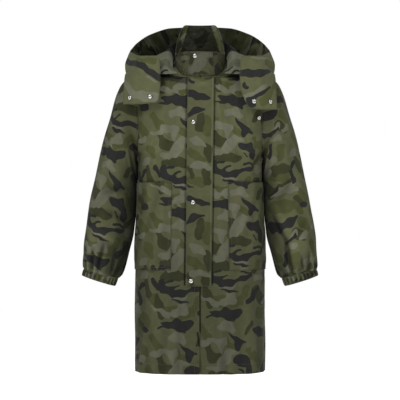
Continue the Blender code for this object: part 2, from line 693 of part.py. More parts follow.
def hood_section(angle):
    """Named points of the hood's upright section in one direction, as pairs of out and height."""
    from_front = angle if angle <= 180 else 360 - angle
    knots = column(HOOD_ROWS, "angle")
    value = [float(ease(knots, column(HOOD_ROWS, name), from_front)[0]) for name in HoodRow._fields[1:]]
    out, height = neck_out(from_front)
    return [(out + HOOD_STAND_OFF, height + HOOD_NECK_RISE)] + list(zip(value[0::2], value[1::2]))


def hood_line(angle, shares):
    """Points from the hood's neck edge over its crest and down round its bottom roll to the rim."""
    section = np.array(hood_section(angle))
    fine = ease(range(len(section)), section, np.linspace(0, len(section) - 1, 101))
    turn = math.radians(angle)
    line = np.stack([fine[:, 0] * math.sin(turn), -fine[:, 0] * math.cos(turn), fine[:, 1]], axis=1)
    return even_points(line, shares)


def build_hood_piece(name, start, end, steps, side):
    """A piece of the hood between two directions."""
    shares = np.linspace(0, 1, HOOD_PROFILE_STEPS)
    angles = np.linspace(start, end, steps + 1)
    grid = np.stack([hood_line(angle, shares) for angle in angles])
    inward = normals(grid)
    if np.dot(inward[0, -2, :2], grid[0, -2, :2]) > 0:
        inward = -inward
    for place in (0, -1):
        turn = math.radians(angles[place])
        inward[place] = without(inward[place], np.array([math.cos(turn), math.sin(turn), 0.0]))
    add_wall(name, on_side(grid, side), on_side(inward, side), look=CLOTH_DARK)


def section_point(place):
    """One named point of the hood's section at the side, just in front of the side piece."""
    out, height = hood_section(SIDE_ANGLE)[place]
    return (out, -2 * SEAM, height)


def build_patch(name, rows, v_steps, side, facing, change=TabChange(0.0, 0.0)):
    """A hood front piece from its table; facing says where its hidden side looks."""
    knots = [row.v for row in rows]
    points = np.array([[row.outer, row.middle, row.inner] for row in rows], float)
    low = 1 - np.clip(np.array(knots) / 0.5, 0, 1)
    points[:, :, 2] -= change.drop * low[:, None]
    points[:, 2, 0] += change.slant * low ** 2
    grid = net(knots, (0.0, 0.5, 1.0), points, v_steps, np.linspace(0, 1, PATCH_COLUMNS))
    inward = normals(grid)
    middle = inward[len(v_steps) // 2, PATCH_COLUMNS // 2]
    inward *= np.sign(np.dot(middle, facing))
    seam = grid[:, :, 1] > -3 * SEAM
    inward[seam] = without(inward[seam], np.array([0.0, 1.0, 0.0]))
    add_wall(name, on_side(grid, side), on_side(inward, side))


def build_hood():
    """Open hood that lies round the collar, with its throat pieces and front tabs."""
    throat = THROAT_ROWS + (PatchRow(1.0, section_point(2), section_point(1), section_point(0)),)
    tab = TAB_ROWS + (PatchRow(0.80, section_point(3), *TAB_ROLL), PatchRow(0.91, section_point(4), *TAB_WALL),
                      PatchRow(1.00, section_point(5), *TAB_RIM))
    for side in (RIGHT, LEFT):
        name = SIDE_NAMES[side]
        build_hood_piece("hood_" + name, SIDE_ANGLE, STRIP_ANGLE - STRIP_GAP, HOOD_SIDE_STEPS, side)
        build_patch("hood_throat_" + name, throat, np.linspace(0, 1, THROAT_STEPS), side, (0, -1, 1))
        build_patch("hood_tab_" + name, tab, TAB_ROW_STEPS, side, (0, 1, -1), TAB_CHANGES[side])
    build_hood_piece("hood_centre", STRIP_ANGLE + STRIP_GAP, 360 - STRIP_ANGLE - STRIP_GAP,
                     HOOD_STRIP_STEPS, LEFT)


# ---------------------------------------------------------------- snaps

def build_snap(snap):
    """Domed metal cap on its carrier, facing out along the carrier's own face."""
    carrier = bpy.data.objects[snap.carrier]
    found, place, out, _ = carrier.ray_cast((snap.x, -1.0, snap.z), (0.0, 1.0, 0.0))
    if not found:
        raise ValueError(snap.name + " is not over its carrier")
    mesh = bmesh.new()
    turn = out.to_track_quat("Z", "Y").to_matrix()
    rings = []
    for share, height in SNAP_PROFILE:
        circle = [2 * math.pi * k / SNAP_SIDES for k in range(SNAP_SIDES)]
        points = [Vector((math.cos(a) * share * SNAP_RADIUS, math.sin(a) * share * SNAP_RADIUS,
                          height * SNAP_HEIGHT + snap.lift)) for a in circle]
        rings.append([mesh.verts.new(place + turn @ point) for point in points])
    mesh.faces.new(list(reversed(rings[0])))
    for low, high in zip(rings, rings[1:]):
        for k in range(SNAP_SIDES):
            after = (k + 1) % SNAP_SIDES
            mesh.faces.new((low[k], low[after], high[after], high[k]))
    mesh.faces.new(rings[-1])
    data = bpy.data.meshes.new(snap.name)
    mesh.to_mesh(data)
    mesh.free()
    data.shade_smooth()
    data.set_sharp_from_angle(angle=math.radians(50))
    data.materials.append(principled(snap.name, SNAP_METAL))
    bpy.context.scene.collection.objects.link(bpy.data.objects.new(snap.name, data))


def build_coat():
    """All pieces of the coat."""
    fronts = {side: build_front(side) for side in (RIGHT, LEFT)}
    back = build_back()
    for side in (RIGHT, LEFT):
        build_sleeve(side, armhole(fronts[side], back))
        build_cuff(side)
    build_collar()
    build_storm_flap()
    build_hood()
    bpy.context.view_layer.update()
    for snap in SNAPS:
        build_snap(snap)


build_coat()
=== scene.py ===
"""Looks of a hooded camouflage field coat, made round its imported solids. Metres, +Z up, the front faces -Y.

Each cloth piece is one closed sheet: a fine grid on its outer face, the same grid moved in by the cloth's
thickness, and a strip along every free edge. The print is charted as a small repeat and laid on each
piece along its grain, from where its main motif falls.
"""

import logging
import math
from dataclasses import dataclass, field
from enum import Enum
from typing import Iterable, NamedTuple, Sequence

import bpy
import numpy as np
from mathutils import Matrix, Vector


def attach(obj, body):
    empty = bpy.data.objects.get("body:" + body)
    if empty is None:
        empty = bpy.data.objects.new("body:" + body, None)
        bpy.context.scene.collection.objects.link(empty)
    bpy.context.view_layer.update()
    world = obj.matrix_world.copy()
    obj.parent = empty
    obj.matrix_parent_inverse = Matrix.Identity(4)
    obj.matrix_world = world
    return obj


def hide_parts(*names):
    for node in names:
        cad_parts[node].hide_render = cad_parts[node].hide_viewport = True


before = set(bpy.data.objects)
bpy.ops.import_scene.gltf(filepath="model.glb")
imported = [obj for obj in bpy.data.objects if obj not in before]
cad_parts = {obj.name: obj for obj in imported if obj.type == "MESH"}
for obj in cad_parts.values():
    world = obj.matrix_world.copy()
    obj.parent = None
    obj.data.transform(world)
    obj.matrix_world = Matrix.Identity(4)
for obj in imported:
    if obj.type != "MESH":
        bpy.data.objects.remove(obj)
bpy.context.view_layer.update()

LOG = logging.getLogger("field_coat")
Array = np.ndarray
Material = bpy.types.Material
Node = bpy.types.Node
Object = bpy.types.Object
Socket = bpy.types.NodeSocket
Tree = bpy.types.NodeTree

# ---------------------------------------------------------------- sizes shared by several pieces
CLOTH = 0.0014              # thickness of one layer of cloth
WALL = 0.0020               # thickness of the solids' walls, which the outer faces are set by
SEAM = 0.0003               # clear distance between two pieces that meet
LIFT = 0.0006               # clear distance between a pocket and the front under it
CENTRE_GAP = 0.003          # distance between the two fronts
HEM_Z = -0.955
UNDERARM_Z = -0.293
FRONT_NECK_Z = -0.055
BACK_NECK_Z = 0.038
POCKET_TOP_Z = -0.376
POCKET_BOTTOM_Z = -0.642
FLAP_TOP_Z = -0.060
FLAP_BOTTOM_Z = -0.690
NECK_HALF_WIDTH = 0.077
NECK_FRONT_DEPTH = 0.099
NECK_BACK_DEPTH = 0.070
NECK_SQUARE = 2.5           # how square the neck's ring is; 2 is an oval
NECK_RISE_START = 20.0      # degrees from the front where the ring starts to climb
NECK_RISE_SPAN = 125.0      # degrees over which it climbs
TINY = 1e-6


class Side(Enum):
    """The wearer's sides, as signs of X."""

    RIGHT = -1
    LEFT = 1

    @property
    def word(self) -> str:
        """Name of the side in a piece's name."""
        return self.name.lower()


class Fold(NamedTuple):
    """A long soft ridge, or a trough where its height is negative."""

    across: float
    along: float
    end_across: float
    end_along: float
    half_width: float
    height: float


class BodyRow(NamedTuple):
    """One line across half of a front or of the back, from its middle to the side seam or armhole."""

    v: float
    mid_y: float
    neck_angle: float
    side_x: float
    side_y: float
    side_z: float
    square: float


class Ring(NamedTuple):
    """One section of the sleeve: its outer and inner lines, and its depth front to back."""

    v: float
    outer_x: float
    outer_z: float
    inner_x: float
    inner_z: float
    centre_y: float
    half_depth: float


class CollarRow(NamedTuple):
    """One line round the stand collar; share runs from the neck seam to the top edge."""

    share: float
    half_width: float
    front_depth: float
    back_depth: float
    front_z: float
    back_z: float
    square: float
    rise_start: float
    rise_span: float


class HoodRow(NamedTuple):
    """One upright section of the hood's side; out is measured from the neck's axis."""

    angle: float
    crest_out: float
    crest_z: float
    floor_out: float
    floor_z: float
    roll_out: float
    roll_z: float
    wall_out: float
    wall_z: float
    rim_out: float
    rim_z: float


class PatchRow(NamedTuple):
    """One line across a hood front piece: its outer end, its middle and its inner end."""

    v: float
    outer: tuple
    middle: tuple
    inner: tuple


class Cut(NamedTuple):
    """A piece as it is cut, before it is sewn: width, length and flat area."""

    width: float
    length: float
    area: float


# ---------------------------------------------------------------- curves and grids

def ease(knots: Sequence, values: Sequence, at: Sequence) -> Array:
    """Smooth curve through values at knots that never overshoots them.

    Args:
        knots: Places of the values, rising.
        values: One number or row of numbers for each knot.
        at: Places to read the curve at.

    Returns:
        The curve's values, one for each place.
    """
    knots = np.asarray(knots, float)
    values = np.asarray(values, float)
    at = np.clip(np.atleast_1d(np.asarray(at, float)), knots[0], knots[-1])
    tail = (1,) * (values.ndim - 1)
    gaps = np.diff(knots).reshape((-1,) + tail)
    slopes = np.diff(values, axis=0) / gaps
    tangents = np.zeros_like(values)
    tangents[0], tangents[-1] = slopes[0], slopes[-1]
    product = slopes[:-1] * slopes[1:]
    total = slopes[:-1] + slopes[1:]
    tangents[1:-1] = np.where(product > 0, 2 * product / np.where(total == 0, 1, total), 0)
    cell = np.clip(np.searchsorted(knots, at, side="right") - 1, 0, len(knots) - 2)
    gap = gaps[cell]
    t = (at - knots[cell]).reshape((-1,) + tail) / gap
    low = (1 + 2 * t) * (1 - t) ** 2 * values[cell] + t * (1 - t) ** 2 * gap * tangents[cell]
    high = t * t * (3 - 2 * t) * values[cell + 1] + t * t * (t - 1) * gap * tangents[cell + 1]
    return low + high


def table_row(rows: Sequence, at: float) -> tuple:
    """A table's values at a place between its rows, whose first column says where each row belongs."""
    table = np.array(rows, float)
    return type(rows[0])(at, *ease(table[:, 0], table[:, 1:], at)[0].tolist())


def by_side(right: object, left: object) -> dict:
    """Field of a dataclass whose value differs between the wearer's two sides."""
    return field(default_factory=lambda: {Side.RIGHT: right, Side.LEFT: left})


def fold_rows(*rows: tuple) -> tuple[Fold, ...]:
    """Folds from rows of their six numbers."""
    return tuple(Fold(*row) for row in rows)


def smooth(share: Array) -> Array:
    """Rise from 0 to 1 with flat ends."""
    share = np.clip(share, 0.0, 1.0)
    return share * share * (3 - 2 * share)


def even_points(points: Array, shares: Sequence) -> Array:
    """Points at the given shares of a line's length."""
    steps = np.linalg.norm(np.diff(points, axis=0), axis=1)
    length = np.concatenate(([0.0], np.cumsum(steps)))
    at = np.asarray(shares) * length[-1]
    return np.stack([np.interp(at, length, points[:, axis]) for axis in range(3)], axis=1)


def net(row_knots: Sequence, points: Array, row_at: Sequence, column_at: Sequence) -> Array:
    """Smooth surface through a net of points that has three points a row."""
    across = np.stack([ease((0.0, 0.5, 1.0), row, column_at) for row in points])
    return ease(row_knots, across, row_at)


def normals(grid: Array, closed: bool = False) -> Array:
    """Unit normals of a grid; closed means that its columns run round and meet."""
    if closed:
        around = np.roll(grid, -1, axis=1) - np.roll(grid, 1, axis=1)
    else:
        around = np.gradient(grid, axis=1)
    cross = np.cross(around, np.gradient(grid, axis=0))
    return cross / np.maximum(np.linalg.norm(cross, axis=2, keepdims=True), 1e-12)


def facing_front(grid: Array) -> Array:
    """Unit directions into the cloth of a grid that is seen from the front."""
    inward = normals(grid)
    return inward * np.sign(inward[0, 0, 1])


def arch(count: int, power: float = 1.0) -> Array:
    """Rise from 0 to 1 and back over evenly spaced points."""
    return np.sin(math.pi * np.linspace(0, 1, count)) ** power


def without(directions: Array, axis: Array) -> Array:
    """Unit directions with their part along an axis taken out, so that two pieces meet square."""
    flat = directions - np.outer(directions @ axis, axis)
    return flat / np.linalg.norm(flat, axis=1, keepdims=True)


def mirrored(grid: Array) -> Array:
    """The same grid at the other side of the body."""
    return grid * np.array([-1.0, 1.0, 1.0])


def on_side(grid: Array, side: Side) -> Array:
    """A grid worked out at +X, put on the wearer's right or left."""
    return mirrored(grid) if side is Side.RIGHT else grid


def run_lengths(grid: Array, axis: int) -> Array:
    """Length along the grid's lines, counted from each line's first point."""
    steps = np.linalg.norm(np.diff(grid, axis=axis), axis=2)
    start = np.zeros_like(np.take(steps, [0], axis=axis))
    return np.concatenate([start, np.cumsum(steps, axis=axis)], axis=axis)


def fold_height(folds: Iterable[Fold], across: Array, along: Array, scale: float) -> Array:
    """Total height of the folds at every point.

    Args:
        folds: Folds of this piece.
        across: Each point's place across the piece.
        along: Each point's place along it.
        scale: Units of across that are as long as one unit of along.

    Returns:
        Height above the smooth surface, in metres.
    """
    total = np.zeros(np.broadcast(across, along).shape)
    for fold in folds:
        run = np.array([fold.end_across - fold.across, (fold.end_along - fold.along) * scale])
        to_across, to_along = across - fold.across, (along - fold.along) * scale
        share = np.clip((run[0] * to_across + run[1] * to_along) / np.dot(run, run), 0.0, 1.0)
        off = np.hypot(to_across - share * run[0], to_along - share * run[1]) / fold.half_width
        total += fold.height * (0.35 + 0.65 * np.sin(math.pi * share)) * np.exp(-off * off)
    return total


class Waves(NamedTuple):
    """Soft waves of cloth: their usual width and length, and their usual height."""

    width: float
    length: float
    height: float

    def at(self, across: Array, along: Array, seed: int) -> Array:
        """Height of the waves, made of sines whose directions and phases come from a fixed seed.

        Args:
            across: Place across the grain, in metres.
            along: Place along the grain, in metres.
            seed: Number that fixes the waves.

        Returns:
            Height of the waves at every point.
        """
        random = np.random.default_rng(seed)
        total = np.zeros(np.broadcast(across, along).shape)
        for _ in range(7):
            k_across = 2 * math.pi / self.width * random.uniform(0.45, 1.6) * random.choice((-1, 1))
            k_along = 2 * math.pi / self.length * random.uniform(0.3, 1.6) * random.choice((-1, 1))
            total += np.sin(k_across * across + k_along * along + random.uniform(0, 2 * math.pi))
        return total / 3.2 * self.height


# ---------------------------------------------------------------- painted fold shade, and the print

LARGE_RELIEF, FINE_RELIEF = 75.0, 110.0       # light gained on large folds and on small ones, per metre
DARKEST, LIGHTEST = 0.34, 1.30                # light in the deepest valley and on the highest crest


def in_relief(height: Array, strength: float | Array = LARGE_RELIEF) -> Array:
    """Light on cloth that stands this far proud of its smooth shape: more on crests, less in valleys."""
    return np.clip(1.0 + strength * height, DARKEST, LIGHTEST)


class Tone(Enum):
    """Colours of the print above its ground, in the order in which they are printed."""

    LEAF = "print_leaf"
    FOREST = "print_forest"
    PALE = "print_pale"
    COAL = "print_coal"


class Blot(NamedTuple):
    """A tapered stroke of the print, in steps of the chart: x to the viewer's right, y down."""

    x: float
    y: float
    radius: float
    end_x: float
    end_y: float
    end_radius: float


class Anchor(NamedTuple):
    """Where one place of the chart falls on a piece."""

    chart_x: float
    chart_y: float
    across: float
    along: float


def strokes(*paths: tuple) -> tuple[Blot, ...]:
    """Tapered strokes along paths that give x, y and radius at every turn."""
    return tuple(Blot(*path[k:k + 6]) for path in paths for k in range(0, len(path) - 3, 3))


# One repeat of the large pieces, charted as strokes; its origin is the middle of the largest dark stroke. The
# second chart is the small pieces': the storm flap's strokes lie round x = 95, the hood tabs' round x = 150
# and 200.
CHART: dict[Tone, tuple[Blot, ...]] = {
    Tone.LEAF: strokes(
        (-15, -16, 4, 8, -12, 6), (2, 28, 3.6, 7, 32, 3.6), (24, 36, 2.6, 27, 45, 2.2),
        (-10, 97, 4, 4, 103, 3), (-26, 12, 3, -18, 22, 4.5), (-26, 82, 4, -22, 90, 3.5),
        (40, 0, 6, 58, 2, 7), (-30, 44, 4, -26, 54, 4), (32, 42, 5, 40, 50, 5), (50, 76, 7, 60, 80, 6),
        (22, 84, 4, 16, 96, 4), (62, 52, 4, 58, 62, 4), (-40, 20, 4, -34, 28, 5), (-36, -8, 5, -30, -2, 4),
        (68, 2, 4, 72, 10, 4)),
    Tone.FOREST: strokes(
        (-18, 32, 3.6, -12, 44, 5), (-12, 43, 3.6, -1, 39, 2), (-15, 62, 4, -2, 60, 4.6, 9, 62, 3.6),
        (-20, 82, 3.2, -15, 98, 4.6), (28, 10, 3, 22, 18, 2.6), (34, -24, 5, 42, -14, 6),
        (50, -36, 6, 62, -35, 5), (54, -18, 4, 66, -20, 4), (-34, 66, 3, -30, 78, 4),
        (30, 66, 3.6, 36, 60, 3), (64, 30, 5, 70, 36, 4), (-42, -4, 3, -36, 4, 4)),
    Tone.PALE: strokes(
        (-15, -14, 2.4, 3, -6.5, 0.5), (3, -19.5, 2, 9, -18.5, 2.2),
        (-6, 13, 2.8, 1, 11.5, 4.6, 9, 16, 2.6), (-17, 25, 2.4, -1, 27.5, 3.8), (-5, 30, 3, -3.5, 37, 1.9),
        (4, 37.5, 3, -1, 46, 5.6, -8, 56, 2.4), (7, 38, 2.2, 14, 39.5, 1), (-16, 54, 2.2, -4, 54, 3.2),
        (-6, 82, 0.9, 4, 82.4, 1.7, 10, 81, 1.1), (0, 96, 4.4, 7, 93.5, 5.4), (-26, 91, 1.3, -8, 101, 1.5),
        (-26, 29, 2, -17, 29, 2.4), (42, -11, 1.5, 54, -15, 2.6, 70, -12, 3), (34, -36, 3.5, 44, -36, 3.2),
        (50, -67, 1.2, 62, -67, 2.6), (40, 66, 2.5, 52, 62, 3.5), (60, 92, 2, 68, 90, 3.2),
        (56, 34, 2, 64, 30, 3), (-40, 62, 2, -34, 60, 3.4), (-44, 36, 2, -36, 34, 3.2)),
    Tone.COAL: strokes(
        (-19, 2.2, 0.7, -9, 2, 1.4), (-16, -2.5, 0.6, -8, -1, 3),
        (-8, -0.5, 3.4, -1, -1.2, 5.2, 6, 1.6, 5.2), (6, 1.6, 5, 16, -2.4, 3.4), (5, 5, 2.4, 10, 7.5, 0.8),
        (3, 18.5, 1, 11.5, 25.5, 2.2, 21, 29.4, 1.3), (14, 30, 4.2, 13, 33.4, 3.8),
        (10.5, 45.2, 3.2, 19, 44.4, 3.4, 24.8, 51, 4, 26, 61, 2.4), (10, 47.5, 1.6, 19, 52.4, 1.5),
        (14.5, 55, 0.6, 20, 59.4, 1.2), (-15.5, 67.5, 3.8, -14, 73, 4.4),
        (-12, 74, 3.4, -3.5, 78, 3.3, 7.5, 77.6, 2.8, 15.7, 73.6, 2.3, 27, 72, 1.6),
        (-8, 75, 1.4, 2.5, 69.8, 1.1), (16.5, 67.4, 0.9, 27, 68.8, 1.1), (-10, 67, 1.2, -6, 65.2, 1.6),
        (-4.5, 83.8, 0.5, 4, 86, 1.8, 13, 85.8, 0.7), (-38, 5, 2, -32, 5, 3.4), (36, 83, 2.2, 25, 97, 3),
        (-24, 66, 2.4, -20, 74, 1.6), (34, 17, 4.6, 47, 20.5, 4.8, 57, 19, 4.4, 66, 15.5, 2),
        (52, 38, 1.2, 57, 35, 2, 64, 32, 1.4), (50, 47, 1.6, 46, 58, 3.2), (67, -31, 2.2, 70, -22, 3),
        (34, -92, 2.6, 38, -88, 3.4), (68, 74, 1.4, 74, 70, 2.4), (40, 96, 1, 50, 92, 2.2)),
}

TRIM_CHART: dict[Tone, tuple[Blot, ...]] = {
    Tone.LEAF: strokes(
        (101, 26, 6, 102, 38, 5), (86, 58, 4, 96, 66, 5), (84, 86, 3, 98, 90, 5),
        (146, -22, 3.4, 162, -23, 4), (202, 20, 5.4, 214, 18, 6), (206, -24, 4, 214, -18, 3)),
    Tone.FOREST: strokes(
        (96, 22, 5, 94, 33, 4.4), (101, 78, 5, 103, 88, 4), (84, 74, 3, 88, 82, 3),
        (103, 52, 3.6, 104, 66, 3)),
    Tone.PALE: strokes(
        (85, 44, 1.4, 92, 47, 4.2, 101, 51, 1.4), (86, 72, 2.2, 96, 71, 3.4, 106, 75, 2),
        (132, 21, 4.4, 150, 17, 4.6, 168, 13, 4.2), (156, -4.5, 1.2, 164, 0, 0.8),
        (183, 11, 3, 196, 8.5, 3.8, 203, 6, 1.2), (190, -30, 2, 202, -28, 2.4)),
    Tone.COAL: strokes(
        (85, -2.8, 3.6, 97, 1, 3.4, 105, 2.6, 2), (82, 22, 2.2, 90, 15, 2.8, 100, 14.2, 1.3),
        (80, -18, 1.4, 88, -14, 1), (134, -20, 3, 149, -15.5, 3.2, 168, -5, 3.6),
        (180, -14.5, 3.4, 200, -10, 3.3, 216, -7.5, 3), (182, -2, 2, 186, 0.5, 1.6),
        (185, 13.4, 1.2, 194, 13, 2.6, 202, 10.5, 2.4, 208, 12, 1.6), (186, 17, 4, 190, 19, 4)),
}


@dataclass(frozen=True)
class Camouflage:
    """Field print: one repeat of strokes, laid on a piece along its grain."""

    chart: dict
    width: float
    step: float = 0.00301
    height: float = 109.0
    softness: float = 0.6
    wander: float = 0.85

    def _wandered(self, x: Array, y: Array) -> tuple[Array, Array]:
        """Moves places of the chart a little, so that the strokes' edges wander."""
        shift_x = np.sin(0.41 * x + 0.17 * y + 1.3) + 0.6 * np.sin(-0.23 * x + 0.52 * y + 0.4)
        shift_y = np.sin(0.19 * x - 0.45 * y + 2.1) + 0.6 * np.sin(0.55 * x + 0.25 * y + 4.0)
        return x + self.wander * shift_x, y + self.wander * shift_y

    def _chart_places(self, across: Array, along: Array,
                      anchors: Sequence[Anchor]) -> tuple[Array, Array]:
        """Places of the chart that a piece's points show.

        Args:
            across: Each point's place across the grain, towards the viewer's right, in metres.
            along: Each point's place down the grain, in metres.
            anchors: Places that are known, in order down the piece, one repeat apart.

        Returns:
            The chart's x and y at every point.
        """
        first, last = anchors[0], anchors[-1]
        knots = [anchor.along for anchor in anchors]
        shift = np.interp(along, knots, [anchor.across for anchor in anchors])
        y = np.interp(along, knots, [first.chart_y + k * self.height for k in range(len(anchors))])
        y = y + np.minimum(along - first.along, 0) / self.step + np.maximum(along - last.along, 0) / self.step
        return first.chart_x + (across - shift) / self.step, y

    def fields(self, across: Array, along: Array, anchors: Sequence[Anchor]) -> dict[Tone, Array]:
        """Signed distance from every point to the edge of each colour, in steps of the chart.

        Args:
            across: Each point's place across the grain, in metres.
            along: Each point's place down the grain, in metres.
            anchors: Places that are known.

        Returns:
            One array for each colour, negative inside it.
        """
        x, y = self._wandered(*self._chart_places(across, along, anchors))
        found = {}
        for tone, blots in self.chart.items():
            total = np.zeros(x.shape)
            for blot in blots:
                run_x, run_y = blot.end_x - blot.x, blot.end_y - blot.y
                middle_x, middle_y = blot.x + run_x / 2, blot.y + run_y / 2
                off_x = (x - middle_x + self.width / 2) % self.width - self.width / 2 + run_x / 2
                off_y = (y - middle_y + self.height / 2) % self.height - self.height / 2 + run_y / 2
                length = run_x * run_x + run_y * run_y
                share = np.clip((off_x * run_x + off_y * run_y) / max(length, 1e-6), 0, 1)
                radius = blot.radius + (blot.end_radius - blot.radius) * share
                distance = np.hypot(off_x - share * run_x, off_y - share * run_y) - radius
                total += np.exp(-np.clip(distance / self.softness, -30, 30))
            found[tone] = -self.softness * np.log(np.maximum(total, 1e-12))
        return found


PRINT = Camouflage(CHART, 111.0)
TRIM_PRINT = Camouflage(TRIM_CHART, 240.0)


# ---------------------------------------------------------------- meshes and cloth sheets

def put(name: str, data: bpy.types.ID) -> Object:
    """Makes an object that holds the data, and links it to the scene."""
    item = bpy.data.objects.new(name, data)
    bpy.context.scene.collection.objects.link(item)
    return item


def smooth_mesh(name: str, points: Array, faces: Sequence, sharp: float,
                material: Material) -> bpy.types.Mesh:
    """Makes a smooth shaded mesh whose edges are sharp above an angle in degrees."""
    mesh = bpy.data.meshes.new(name)
    mesh.from_pydata(points.tolist(), [], faces)
    mesh.shade_smooth()
    mesh.set_sharp_from_angle(angle=math.radians(sharp))
    mesh.materials.append(material)
    return mesh


@dataclass
class Sheet:
    """One piece of cloth: its outer grid, and what its mesh carries for its finish and its painted shade."""

    name: str
    grid: Array
    inward: Array
    anchors: Sequence[Anchor]
    across: Array
    along: Array
    closed: bool = False
    shade: float | Array = 1.0
    inner_shade: float | Array = 0.55
    thickness: float = CLOTH
    parted: tuple[int, int] | None = None
    printed: Camouflage = PRINT

    def _quads(self) -> tuple[Array, Array]:
        """Corner numbers of the grid's cells, and the same with the closing column counted on its own."""
        rows, columns = self.grid.shape[:2]
        steps = columns if self.closed else columns - 1
        i, j = np.meshgrid(np.arange(rows - 1), np.arange(steps), indexing="ij")
        corners = [(i, j), (i, j + 1), (i + 1, j + 1), (i + 1, j)]
        points = np.stack([(a * columns + b % columns).ravel() for a, b in corners], axis=1)
        wide = columns + 1 if self.closed else columns
        laid = np.stack([(a * wide + b).ravel() for a, b in corners], axis=1)
        if self.parted:
            last_row, second = self.parted
            kept = (j != second - 1).ravel()
            points, laid = points[kept], laid[kept]
            joined = (points % columns == second) & (points // columns <= last_row)
            points = points - joined
        return points, laid

    def _laid(self, values: Array) -> Array:
        """Values of the grid's points, with the closing column's added where they lack it."""
        if self.closed and values.shape[1] == self.grid.shape[1]:
            values = np.concatenate([values, values[:, :1]], axis=1)
        return values.reshape(-1)

    def _edge_distance(self) -> Array:
        """Distance along the cloth from every point to the nearest edge of the piece."""
        down = run_lengths(self.grid, 0)
        away = np.minimum(down, down[-1:] - down)
        if not self.closed:
            round_it = run_lengths(self.grid, 1)
            away = np.minimum(away, np.minimum(round_it, round_it[:, -1:] - round_it))
        return np.minimum(away, 0.05)

    def _shell(self) -> tuple[Array, Array, int]:
        """Works out the closed shell: the outer faces, the inner ones and the strip along each free edge.

        Returns:
            Each face's corners, each corner's place on the flat cloth, and how many outer faces there are.
        """
        quads, laid = self._quads()
        outer, inward = self.grid.reshape(-1, 3), self.inward.reshape(-1, 3)
        a, b, c = (outer[quads[:, k]] for k in (0, 1, 3))
        if np.einsum("ij,ij->i", np.cross(b - a, c - a), inward[quads[:, 0]]).sum() > 0:
            quads, laid = quads[:, ::-1], laid[:, ::-1]
        ends, lays = (np.concatenate([part[:, [k, (k + 1) % 4]] for k in range(4)]) for part in (quads, laid))
        key = ends.min(axis=1) * len(outer) + ends.max(axis=1)
        _, index, count = np.unique(key, return_index=True, return_counts=True)
        ends, lays = ends[index[count == 1]], lays[index[count == 1]]
        rim = np.concatenate([ends[:, ::-1], ends + len(outer)], axis=1)
        rim_laid = np.concatenate([lays[:, ::-1], lays], axis=1)
        faces = np.concatenate([quads, quads[:, ::-1] + len(outer), rim])
        return faces, np.concatenate([laid, laid[:, ::-1], rim_laid]).reshape(-1), len(quads)

    def build(self, material: Material) -> Object:
        """Builds the closed mesh, its UV map in metres and its attributes.

        Args:
            material: Finish of the cloth.

        Returns:
            The new object.
        """
        faces, corner, count = self._shell()
        outer = self.grid.reshape(-1, 3)
        points = np.concatenate([outer, outer + self.inward.reshape(-1, 3) * self.thickness])
        used, faces = np.unique(faces, return_inverse=True)
        mesh = smooth_mesh(self.name, points[used], faces.reshape(-1, 4).tolist(), 60, material)
        flat = np.stack([self._laid(self.across), -self._laid(self.along)], axis=1)
        mesh.uv_layers.new(name="cloth").data.foreach_set("uv", flat[corner].reshape(-1).astype(np.float32))
        for tone, values in self.printed.fields(self.across, self.along, self.anchors).items():
            self._attribute(mesh, tone.value, self._laid(values)[corner])
        light, inner = (self._laid(np.broadcast_to(part, self.grid.shape[:2]))[corner]
                        for part in (self.shade, self.inner_shade))
        behind = slice(count * 4, count * 8)
        light[behind] *= inner[behind]
        self._attribute(mesh, "shade", light)
        self._attribute(mesh, "edge", self._laid(self._edge_distance())[corner])
        return put(self.name, mesh)

    @staticmethod
    def _attribute(mesh: bpy.types.Mesh, name: str, values: Array) -> None:
        """Adds one number for every face corner."""
        layer = mesh.attributes.new(name, "FLOAT", "CORNER")
        layer.data.foreach_set("value", values.astype(np.float32))

    def line(self, row: Sequence, column: Sequence, lift: float = 0.0003) -> Array:
        """Points on the outer face at fractional rows and columns, moved out a little.

        Args:
            row: Rows of the points.
            column: Columns of the points.
            lift: Distance out from the cloth.

        Returns:
            One point a row.
        """
        rows, columns = self.grid.shape[:2]
        row = np.clip(np.asarray(row, float), 0, rows - 1.001)
        column = np.asarray(column, float)
        if not self.closed:
            column = np.clip(column, 0, columns - 1.001)
        i, j = row.astype(int), np.floor(column).astype(int)
        s, t = (row - i)[:, None], (column - j)[:, None]
        raised = self.grid - self.inward * lift
        j, after = j % columns, (j + 1) % columns
        low = raised[i, j] * (1 - t) + raised[i, after] * t
        high = raised[i + 1, j] * (1 - t) + raised[i + 1, after] * t
        return low * (1 - s) + high * s


# ---------------------------------------------------------------- finishes

def dimmed(colour: Sequence[float], share: float) -> tuple[float, float, float, float]:
    """A colour made lighter or darker."""
    return (*(value * share for value in colour[:3]), 1.0)


def paint(red: int, green: int, blue: int) -> tuple[float, float, float, float]:
    """Linear colour from the usual 0 to 255 values."""
    share = [value / 255 for value in (red, green, blue)]
    linear = [value / 12.92 if value <= 0.04045 else ((value + 0.055) / 1.055) ** 2.4 for value in share]
    return (*linear, 1.0)


